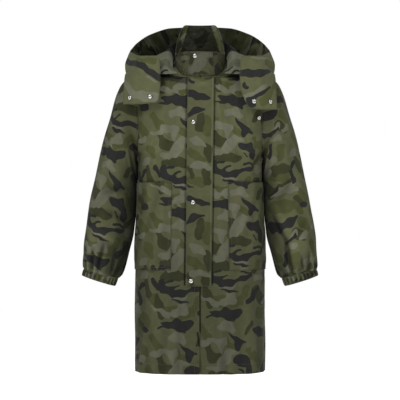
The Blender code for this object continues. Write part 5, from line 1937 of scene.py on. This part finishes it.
@dataclass
class Studio:
    """Camera level with the coat's middle, soft light and a plain pale floor."""

    distance: float = 4.2
    eye_z: float = -0.43
    view_width: float = 1.24
    sensor: float = 36.0
    floor_z: float = -1.36
    floor_radius: float = 7.0
    lamps: tuple = (("key", (-1.5, -3.0, 2.2), 1.5, 38.5), ("fill", (1.9, -3.2, 1.1), 1.6, 13.0),
                    ("top", (0.0, -0.9, 2.6), 1.4, 20.5), ("behind", (0.6, 3.6, 1.9), 2.0, 36.0))

    def _camera(self) -> None:
        """Camera of the photograph's angle."""
        data = bpy.data.cameras.new("camera")
        data.sensor_width = self.sensor
        data.lens = self.sensor * self.distance / self.view_width
        camera = put("camera", data)
        camera.location = (0.0, -self.distance, self.eye_z)
        camera.rotation_euler = (math.pi / 2, 0.0, 0.0)
        bpy.context.scene.camera = camera

    def _floor(self) -> None:
        """Round floor, far enough below the hem to stay out of the photograph's frame."""
        around = np.linspace(0, 2 * math.pi, 96, endpoint=False)
        rings = [np.stack([np.cos(around) * r, np.sin(around) * r, np.full(96, self.floor_z)], axis=1)
                 for r in np.linspace(self.floor_radius, 0.4, 8)]
        faces = [(i * 96 + k, i * 96 + (k + 1) % 96, (i + 1) * 96 + (k + 1) % 96, (i + 1) * 96 + k)
                 for i in range(7) for k in range(96)] + [tuple(range(7 * 96, 8 * 96))]
        mesh = bpy.data.meshes.new("floor")
        mesh.from_pydata(np.concatenate(rings).tolist(), [], faces)
        mesh.materials.append(PlainFinish("floor_paper", (0.86, 0.86, 0.85, 1.0), mottle=0.01, scale=6.0,
                                          roughness=0.9, glow=1.02).build())
        put("floor", mesh)

    @staticmethod
    def _softbox(name: str, place: tuple, size: float, watts: float) -> None:
        """Square soft light that looks at the coat's middle."""
        data = bpy.data.lights.new(name, "AREA")
        data.shape = "SQUARE"
        data.size = size
        data.energy = watts
        lamp = put(name, data)
        lamp.location = place
        aim = Vector((0.0, 0.0, -0.4)) - Vector(place)
        lamp.rotation_euler = aim.to_track_quat("-Z", "Y").to_euler()
        lamp.visible_camera = False

    @staticmethod
    def _world() -> None:
        """White surroundings, and a dimmer even light that comes from them."""
        world = bpy.data.worlds.new("studio")
        world.use_nodes = True
        wiring = Wiring(world.node_tree)
        background = world.node_tree.nodes["Background"]
        seen = wiring.node("ShaderNodeLightPath").outputs["Is Camera Ray"]
        wiring.feed(background.inputs["Color"], (1.0, 1.0, 1.0, 1.0))
        wiring.feed(background.inputs["Strength"], wiring.math("MULTIPLY_ADD", seen, 0.86, 0.14))
        bpy.context.scene.world = world

    def build(self) -> None:
        """Builds the studio."""
        self._camera()
        self._floor()
        self._world()
        for name, place, size, watts in self.lamps:
            self._softbox(name, place, size, watts)
        bpy.context.scene.view_settings.view_transform = "Standard"


# ---------------------------------------------------------------- the coat

class Hold(NamedTuple):
    """How a sheet hangs, what it hangs from, and how much longer its cut is than it shows."""

    held: str
    rests_on: tuple
    fullness: float = 1.0
    allowance: float = 0.010


def matching(table: dict, node: str) -> object:
    """The entry whose name begins a node's name, the longest one first, or else the body's."""
    words = [word for word in table if node == word or node.startswith(word + "_")]
    return table[max(words, key=len, default="body")]


@dataclass
class Coat:
    """The whole coat: its sheets, stitches and snaps."""

    holds: dict = field(default_factory=lambda: {
        "front": Hold("hung", ("collar",)),
        "pocket": Hold("hung", ("front",)),
        "back": Hold("hung", ("collar",)),
        "storm_flap": Hold("hung", ("front_left",)),
        "sleeve": Hold("gathered", ("back",), 1.04),
        "cuff": Hold("gathered", ("sleeve",), 1.12, 0.002),
        "collar": Hold("stretched", ("back",), 1.0, 0.008),
        "collar_tab": Hold("hung", ("collar",), 1.0, 0.004),
        "hood": Hold("draped", ("back",), 1.0, 0.008),
    })

    @staticmethod
    def _supports(node: str, hold: Hold) -> list[str]:
        """Nodes that a sheet hangs from, on its own side where there are two."""
        side = node[node.rfind("_"):]
        return [name + side if name in ("front", "sleeve") else name for name in hold.rests_on]

    @staticmethod
    def _cut(sheet: Sheet, hold: Hold) -> Cut:
        """Flat size of the cut: what the sheet covers, its fullness and an allowance at each edge."""
        grid = np.concatenate([sheet.grid, sheet.grid[:, :1]], axis=1) if sheet.closed else sheet.grid
        across, down = np.diff(grid, axis=1), np.diff(grid, axis=0)
        rows = np.linalg.norm(across, axis=2)
        cells = np.linalg.norm(np.cross(across[:-1], down[:, :-1]), axis=2)
        if sheet.parted:
            rows, cells = (np.delete(part, sheet.parted[1] - 1, axis=1) for part in (rows, cells))
        width = rows.sum(axis=1).max() * hold.fullness + 2 * hold.allowance
        length = np.linalg.norm(down, axis=2).sum(axis=0).max() + 2 * hold.allowance
        area = cells.sum() * hold.fullness + 2 * hold.allowance * (width + length)
        width, length = round(float(width), 3), round(float(length), 3)
        return Cut(width, length, float(min(area, width * length)))

    @staticmethod
    def _finishes() -> dict[str, Material]:
        """Makes the cloth's finishes, by the words that begin the names of the nodes that take them."""
        right_lean, left_lean, slit_foot = 0.010476, 0.01381, -0.832
        plans = {
            "cuff": ClothFinish("camouflage_cuff", creases=0.0010, rub=0.6),
            # The collar and its tab are a darker copy of the cloth, as painted shade, with painted shade inside
            # their edges.
            "collar": ClothFinish("camouflage_collar", coal=paint(56, 57, 48), creases=0.0056,
                                  crease_scale=34.0, rub=0.7, level=0.70, edge_shadow=0.30),
            "hood_centre": ClothFinish("camouflage_hood", creases=0.0020),
            # The fronts' bands are painted shadows: beside the storm flap's edges, in the slit at the centre
            # front, and in the wedge at its foot.
            "front_left": ClothFinish("camouflage_front_left", bands=(
                Band(0.0463, left_lean, 0.0042, 0.30, bottom=FLAP_BOTTOM_Z),
                Band(-0.0005, 0.0, 0.0056, 0.03, bottom=slit_foot),
                Band(-0.0040, 0.0, 0.0066, 0.06, top=slit_foot))),
            "front_right": ClothFinish("camouflage_front_right", bands=(
                Band(-0.0395, right_lean, 0.0060, 0.50, bottom=FLAP_BOTTOM_Z),
                Band(-0.0385, right_lean, 0.0044, 0.10, -0.525, FLAP_BOTTOM_Z),
                Band(-0.0005, 0.0, 0.0030, 0.10, FLAP_BOTTOM_Z, slit_foot),
                Band(-0.1165, -0.1319, 0.0060, 0.03, -0.8240, -0.8740))),
            # Painted shade inside the storm flap's edges; its band is a lighter strip along its stitching.
            "storm_flap": ClothFinish("camouflage_flap", edge_shadow=0.15,
                                      bands=(Band(0.0392, left_lean, 0.0026, 1.55),)),
            # Painted shade inside the pockets' and the tabs' edges; the tabs are a brighter copy of the cloth, as
            # painted light.
            "pocket": ClothFinish("camouflage_pocket", edge_shadow=0.34, rub=0.15),
            "hood_tab": ClothFinish("camouflage_tab", edge_shadow=0.26, level=1.20),
            # The throat pieces are a lit copy of the cloth, paler and brighter, as painted light.
            "hood_throat": ClothFinish("camouflage_throat", ground=paint(112, 113, 96),
                                       leaf=paint(104, 106, 88), forest=paint(94, 96, 78), creases=0.0040,
                                       crease_scale=24.0, level=1.80),
            "body": ClothFinish("camouflage_cotton"),
        }
        effects = Effects.made()
        return {word: plan.build(effects) for word, plan in plans.items()}

    @staticmethod
    def _settle(piece: Object, slot: str) -> None:
        """Puts a piece on the coat's one body."""
        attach(piece, "root")

    def build(self) -> None:
        """Builds and dresses every piece, and puts it on the coat's one body."""
        body = Body()
        sheets = body.build() | Sleeves().build(body) | Collar().build() | Hood().build()
        finishes = self._finishes()
        thread = PlainFinish("olive_thread", paint(112, 114, 92), mottle=0.14, scale=900.0).build()
        runs = StitchPlan(sheets).build(thread)
        for node, sheet in sheets.items():
            piece = sheet.build(matching(finishes, node))
            self._settle(piece, "camouflage_cloth")
            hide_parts(node)
            mine = [runs[node]] if node in runs else []
            for run in mine:
                self._settle(run, "camouflage_cloth")
            hold = matching(self.holds, node)
            self._supports(node, hold)
        metal = SnapFinish().build()
        bed = SnapFinish("snap_bed", paint(120, 120, 112), paint(58, 58, 52)).build()
        for node, pieces in Snaps().build(metal, bed).items():
            for piece in pieces:
                self._settle(piece, "snap_metal")
                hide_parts(node)
            LOG.info("%s: %d pieces", node, len(pieces))


def main() -> None:
    """Builds the studio and the coat."""
    logging.basicConfig(level=logging.INFO, format="%(message)s")
    Studio().build()
    Coat().build()
    bpy.context.view_layer.update()


if __name__ == "__main__":
    main()
